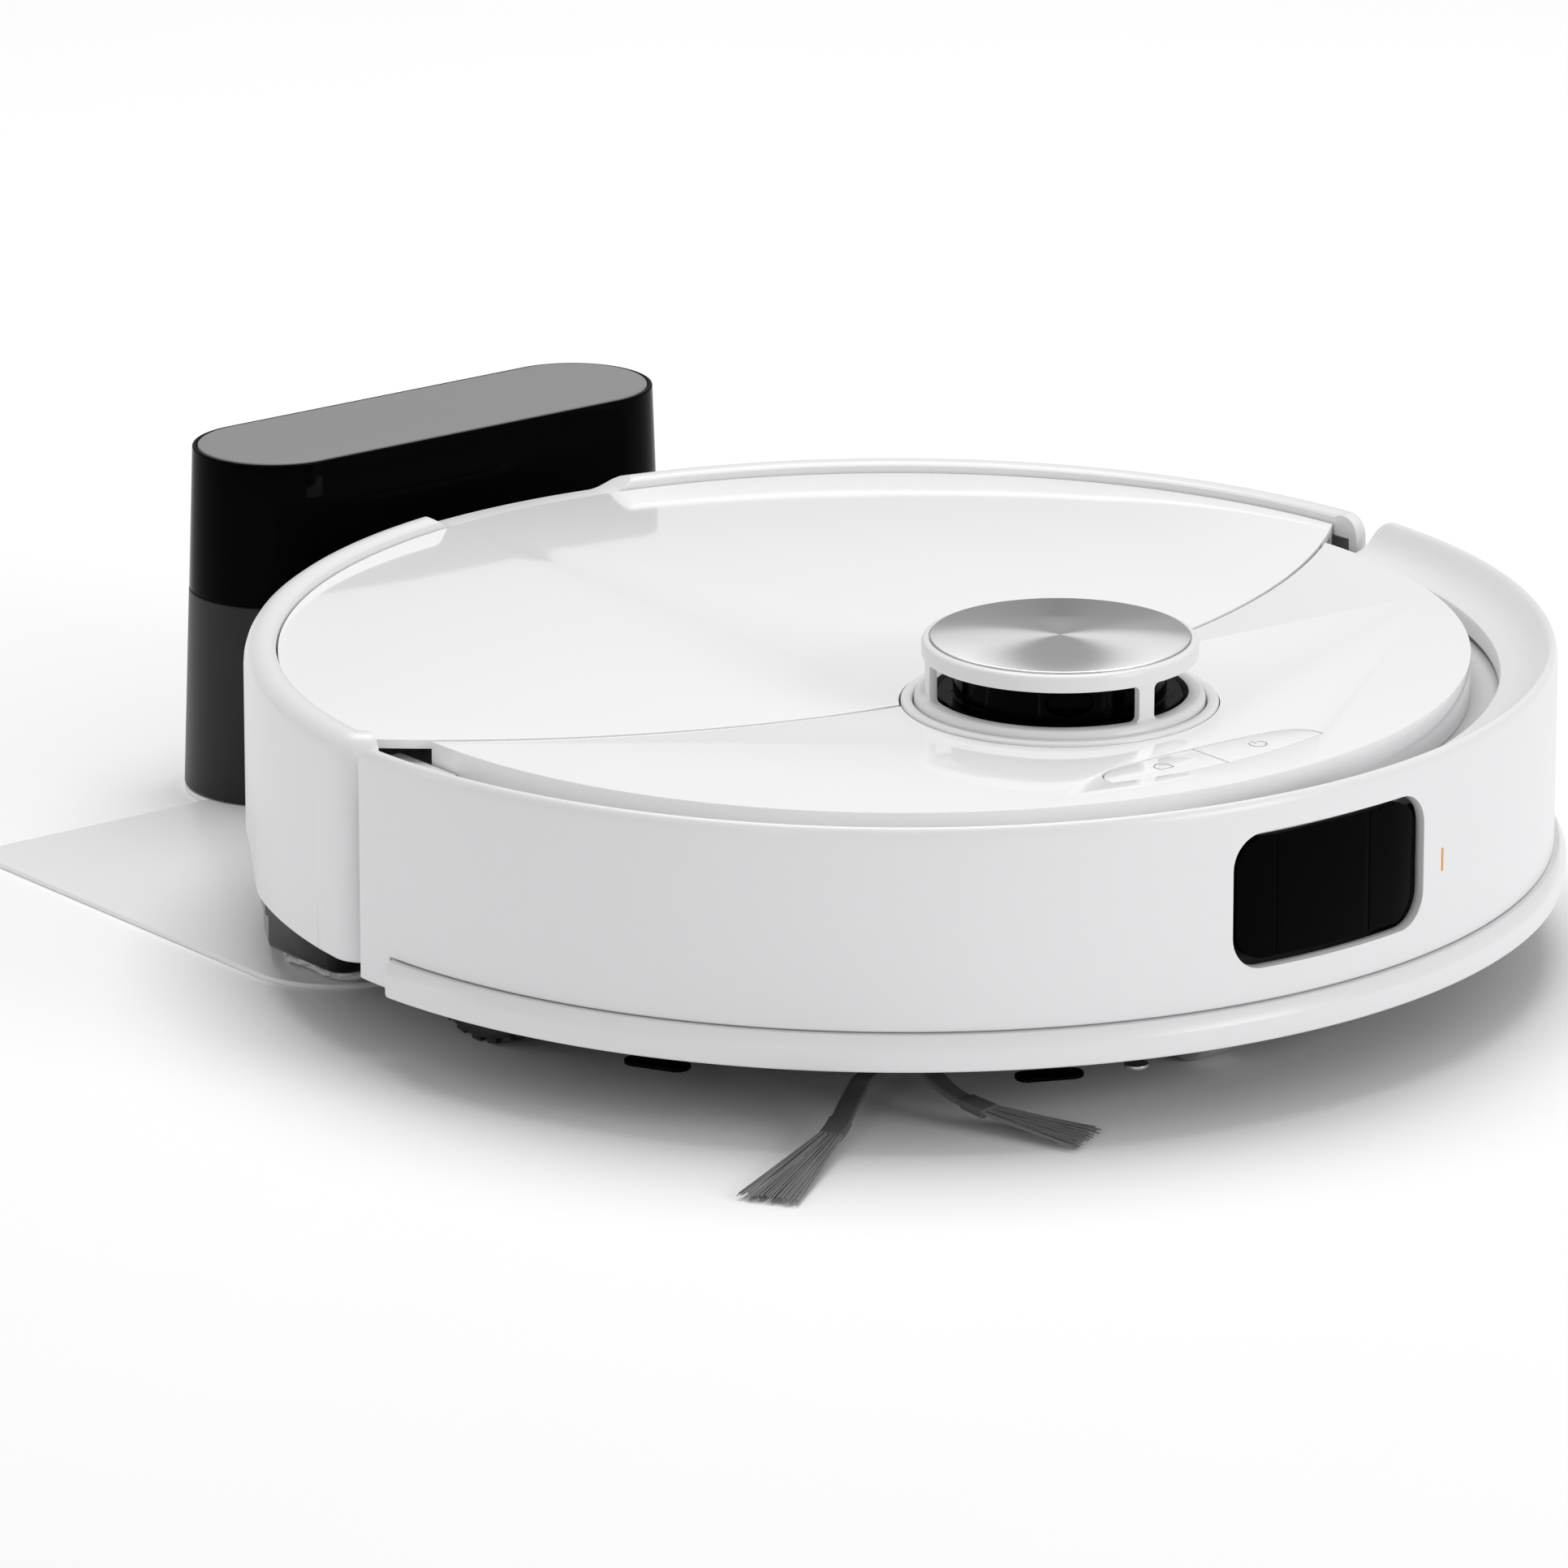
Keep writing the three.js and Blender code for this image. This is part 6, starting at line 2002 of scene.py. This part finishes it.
@dataclass
class ChargingDock:
    """Two-part tapering block on a thin plate, with sprung contacts and a mains socket."""

    half_straight: float = 51.0 * MM
    wall: float = 2.4 * MM
    rim: float = 1.2 * MM
    seat_gap: float = 0.3 * MM
    plate_front_corner: float = 27.0 * MM
    plate_back_corner: float = 12.0 * MM

    @property
    def centre(self) -> Vector:
        """Middle of the block, on the floor."""
        return Vector((0.0, middle("dock_lower_housing").y, 0.0))

    def radius(self, height: float) -> float:
        """Radius of the block's rounded ends at a height."""
        base, top = low("dock_lower_housing").z, high("dock_top_panel").z
        wide = high("dock_lower_housing").x - self.half_straight
        narrow = high("dock_top_panel").x + self.rim + self.seat_gap - self.half_straight
        return wide + (narrow - wide) * (height - base) / (top - base)

    def stadium(self, radius: float) -> list[Vector]:
        """Outline of the block: two half rounds of a radius, joined by straight sides."""
        reach = Vector((self.half_straight, 0, 0))
        return [
            *arc_points(self.centre + reach, radius, -90, 90, 48),
            *arc_points(self.centre - reach, radius, 90, 270, 48),
        ]

    def tapered(self, name: str, bottom: float, top: float, inset: float) -> Object:
        """Stadium-shaped block that narrows upwards."""
        half, centre = self.half_straight, self.centre
        start, end = self.radius(bottom) - inset, self.radius(top) - inset
        body = prism(name, self.stadium(start), bottom, top)
        share = end / start
        high_up = (bottom + top) / 2
        with editing(body, "VERT"):
            pick(body, "VERT", lambda p, _: p.z > high_up)
            bpy.ops.transform.resize(value=(1, share, 1), center_override=centre)
            for sign in (-1, 1):
                pick(body, "VERT", lambda p, _, s=sign: p.z > high_up and p.x * s > half)
                bpy.ops.transform.resize(value=(share, 1, 1), center_override=(sign * half, centre.y, top))
        return body

    def build(self) -> None:
        """Model all of the dock's pieces."""
        self.build_plate()
        self.build_lower()
        self.build_upper()
        bottom, top = low("dock_top_panel").z, high("dock_top_panel").z
        top_panel = self.tapered("top_panel_shape", bottom, top, self.rim + self.seat_gap)
        soften(top_panel, 0.5 * MM, 4, smooth=30)
        install(top_panel, "dock_lid", Palette.dock_grey, "dock_top_panel")
        install(refined("dock_inlet", 0.4 * MM), "dock_socket", Palette.black_satin, "dock_inlet")
        for side in Side:
            node = f"dock_contact_{side.suffix}"
            install(refined(node, 0.9 * MM, 4), f"dock_tongue_{side.suffix}", Palette.contact_brass, node)

    def build_plate(self) -> None:
        """Thin plate that the robot drives onto."""
        lowest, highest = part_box("dock_plate")
        front, back = self.plate_front_corner, self.plate_back_corner
        wide = self.radius(low("dock_lower_housing").z)
        rear = self.centre.y - 2.8 * MM
        outline = [
            *arc_points(Vector((highest.x - front, lowest.y + front, 0)), front, -90, 0, 24),
            *arc_points(Vector((highest.x - back, rear - back, 0)), back, 0, 90, 12),
            *arc_points(Vector((lowest.x + back, rear - back, 0)), back, 90, 180, 12),
            *arc_points(Vector((lowest.x + front, lowest.y + front, 0)), front, 180, 270, 24),
        ]
        plate = prism("plate_shape", outline, lowest.z, highest.z)
        carve(plate, prism("plate_foot", self.stadium(wide), lowest.z, highest.z), operation="UNION")
        soften(plate, 0.35 * MM, 3, smooth=30)
        install(plate, "dock_floor_plate", Palette.plate_white, "dock_plate")

    def build_lower(self) -> None:
        """Satin lower half, with slots for the contacts and the socket."""
        bottom, top = low("dock_lower_housing").z, high("dock_lower_housing").z
        lower = self.tapered("dock_lower_shape", bottom, top, 0.0)
        tools = [self.tapered("dock_inside", bottom + self.wall, top + 1 * MM, self.wall)]
        gap = Vector((0.3, 0.0, 0.3)) * MM
        for side in Side:
            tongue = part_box(f"dock_contact_{side.suffix}")
            tools.append(block("tongue_slot", tongue[0] - gap, tongue[1] + gap))
        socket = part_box("dock_inlet")
        reach = Vector((0, 10, 0)) * MM
        tools.append(block("socket_slot", socket[0] - gap + reach * 0.4, socket[1] + gap + reach))
        carve(lower, *tools)
        soften(lower, 0.6 * MM, 4, limit=40, smooth=30)
        install(lower, "dock_base", Palette.dock_black, "dock_lower_housing")

    def build_upper(self) -> None:
        """Glossy upper half, its top sunk for the panel."""
        bottom, top = low("dock_upper_housing").z, high("dock_upper_housing").z
        upper = self.tapered("dock_upper_shape", bottom, top, 0.0)
        panel_seat = low("dock_top_panel").z - self.seat_gap
        tools = [
            self.tapered("dock_inside", bottom - 1 * MM, panel_seat - 3 * MM, self.wall),
            self.tapered("dock_top_seat", panel_seat, top + 1 * MM, self.rim),
        ]
        carve(upper, *tools)
        soften(upper, 0.4 * MM, 4, limit=40, smooth=30)
        install(upper, "dock_head", Palette.black_gloss, "dock_upper_housing")


# ---------------------------------------------------------------------------
# Studio
# ---------------------------------------------------------------------------


@dataclass
class Studio:
    """Pale floor, even white surroundings, soft lights and the camera."""

    floor_tone: float = 0.95
    world_tone: float = 0.46
    camera_place: tuple[float, float, float] = (-1.8296, -2.3407, 0.9589)
    camera_turn: tuple[float, float, float] = (72.73, 0.0, -37.79)
    lens: float = 266.2

    def build(self) -> None:
        """Set up the whole studio."""
        self.build_floor()
        self.build_world()
        self.build_lights()
        self.build_camera()
        settings = bpy.context.scene.view_settings
        settings.view_transform = "Standard"
        settings.look = "None"

    def build_floor(self) -> None:
        """Large plain floor at height zero."""
        bpy.ops.mesh.primitive_plane_add(size=12.0, location=(0, 0, 0))
        floor = settle(bpy.context.object, "floor")
        paper = Finish(
            "floor_paper",
            grey(self.floor_tone),
            grey(self.floor_tone * 0.985),
            roughness=0.8,
            specular=0.0,
            depth=0.00001,
        )
        dress(floor, paper)

    def build_world(self) -> None:
        """White surroundings."""
        world = bpy.context.scene.world or bpy.data.worlds.new("studio")
        bpy.context.scene.world = world
        world.use_nodes = True
        nodes = world.node_tree.nodes
        backdrop = nodes.get("Background") or nodes.new("ShaderNodeBackground")
        backdrop.inputs["Color"].default_value = (1.0, 1.0, 1.0, 1.0)
        backdrop.inputs["Strength"].default_value = self.world_tone

    def build_lights(self) -> None:
        """Broad overhead light, a low one for the wall, and two weak strips for the glossy edges."""
        self.panel("overhead", (0.4, 0.5, 2.4), (1.8, 1.8), 39.0)
        self.panel("front_right", (0.9, -2.6, 0.9), (1.2, 1.0), 22.0)
        self.panel("left_strip", (-2.3, 1.5, 0.7), (0.14, 1.1), 3.0)
        self.panel("front_strip", (-2.1, -1.3, 0.8), (0.08, 1.1), 2.5)

    def panel(self, name: str, place: Sequence[float], size: tuple[float, float], power: float) -> None:
        """Rectangular area light aimed at the robot.

        Args:
            name: The light's name.
            place: Where it hangs.
            size: Its width and its height.
            power: Its power in watts.
        """
        bpy.ops.object.light_add(type="AREA", location=place)
        lamp = bpy.context.object
        lamp.name = name
        lamp.data.shape = "RECTANGLE"
        lamp.data.size, lamp.data.size_y = size
        lamp.data.energy = power
        aim = Vector((0.0, 0.0, 0.05)) - Vector(place)
        lamp.rotation_euler = aim.to_track_quat("-Z", "Y").to_euler()

    def build_camera(self) -> None:
        """Long lens at a low three-quarter view."""
        bpy.ops.object.camera_add(location=self.camera_place)
        camera = bpy.context.object
        camera.name = "camera"
        camera.rotation_euler = [math.radians(turn) for turn in self.camera_turn]
        camera.data.lens = self.lens
        camera.data.sensor_width = 36.0
        camera.data.clip_start = 0.1
        camera.data.clip_end = 50.0
        bpy.context.scene.camera = camera


def main() -> None:
    """Build every piece and finish the scene."""
    logging.basicConfig(level=logging.INFO, format="%(name)s: %(message)s")
    builders = [
        FrontBumper(),
        RearShell(),
        TopPanels(),
        LaserTurret(),
        Base(),
        DriveWheel(Side.RIGHT),
        DriveWheel(Side.LEFT),
        Caster(),
        SideBrush(),
        Internals(),
        Mop(),
        ChargingDock(),
        Studio(),
    ]
    for builder in builders:
        log.info("building %s", type(builder).__name__)
        builder.build()


if __name__ == "__main__":
    main()
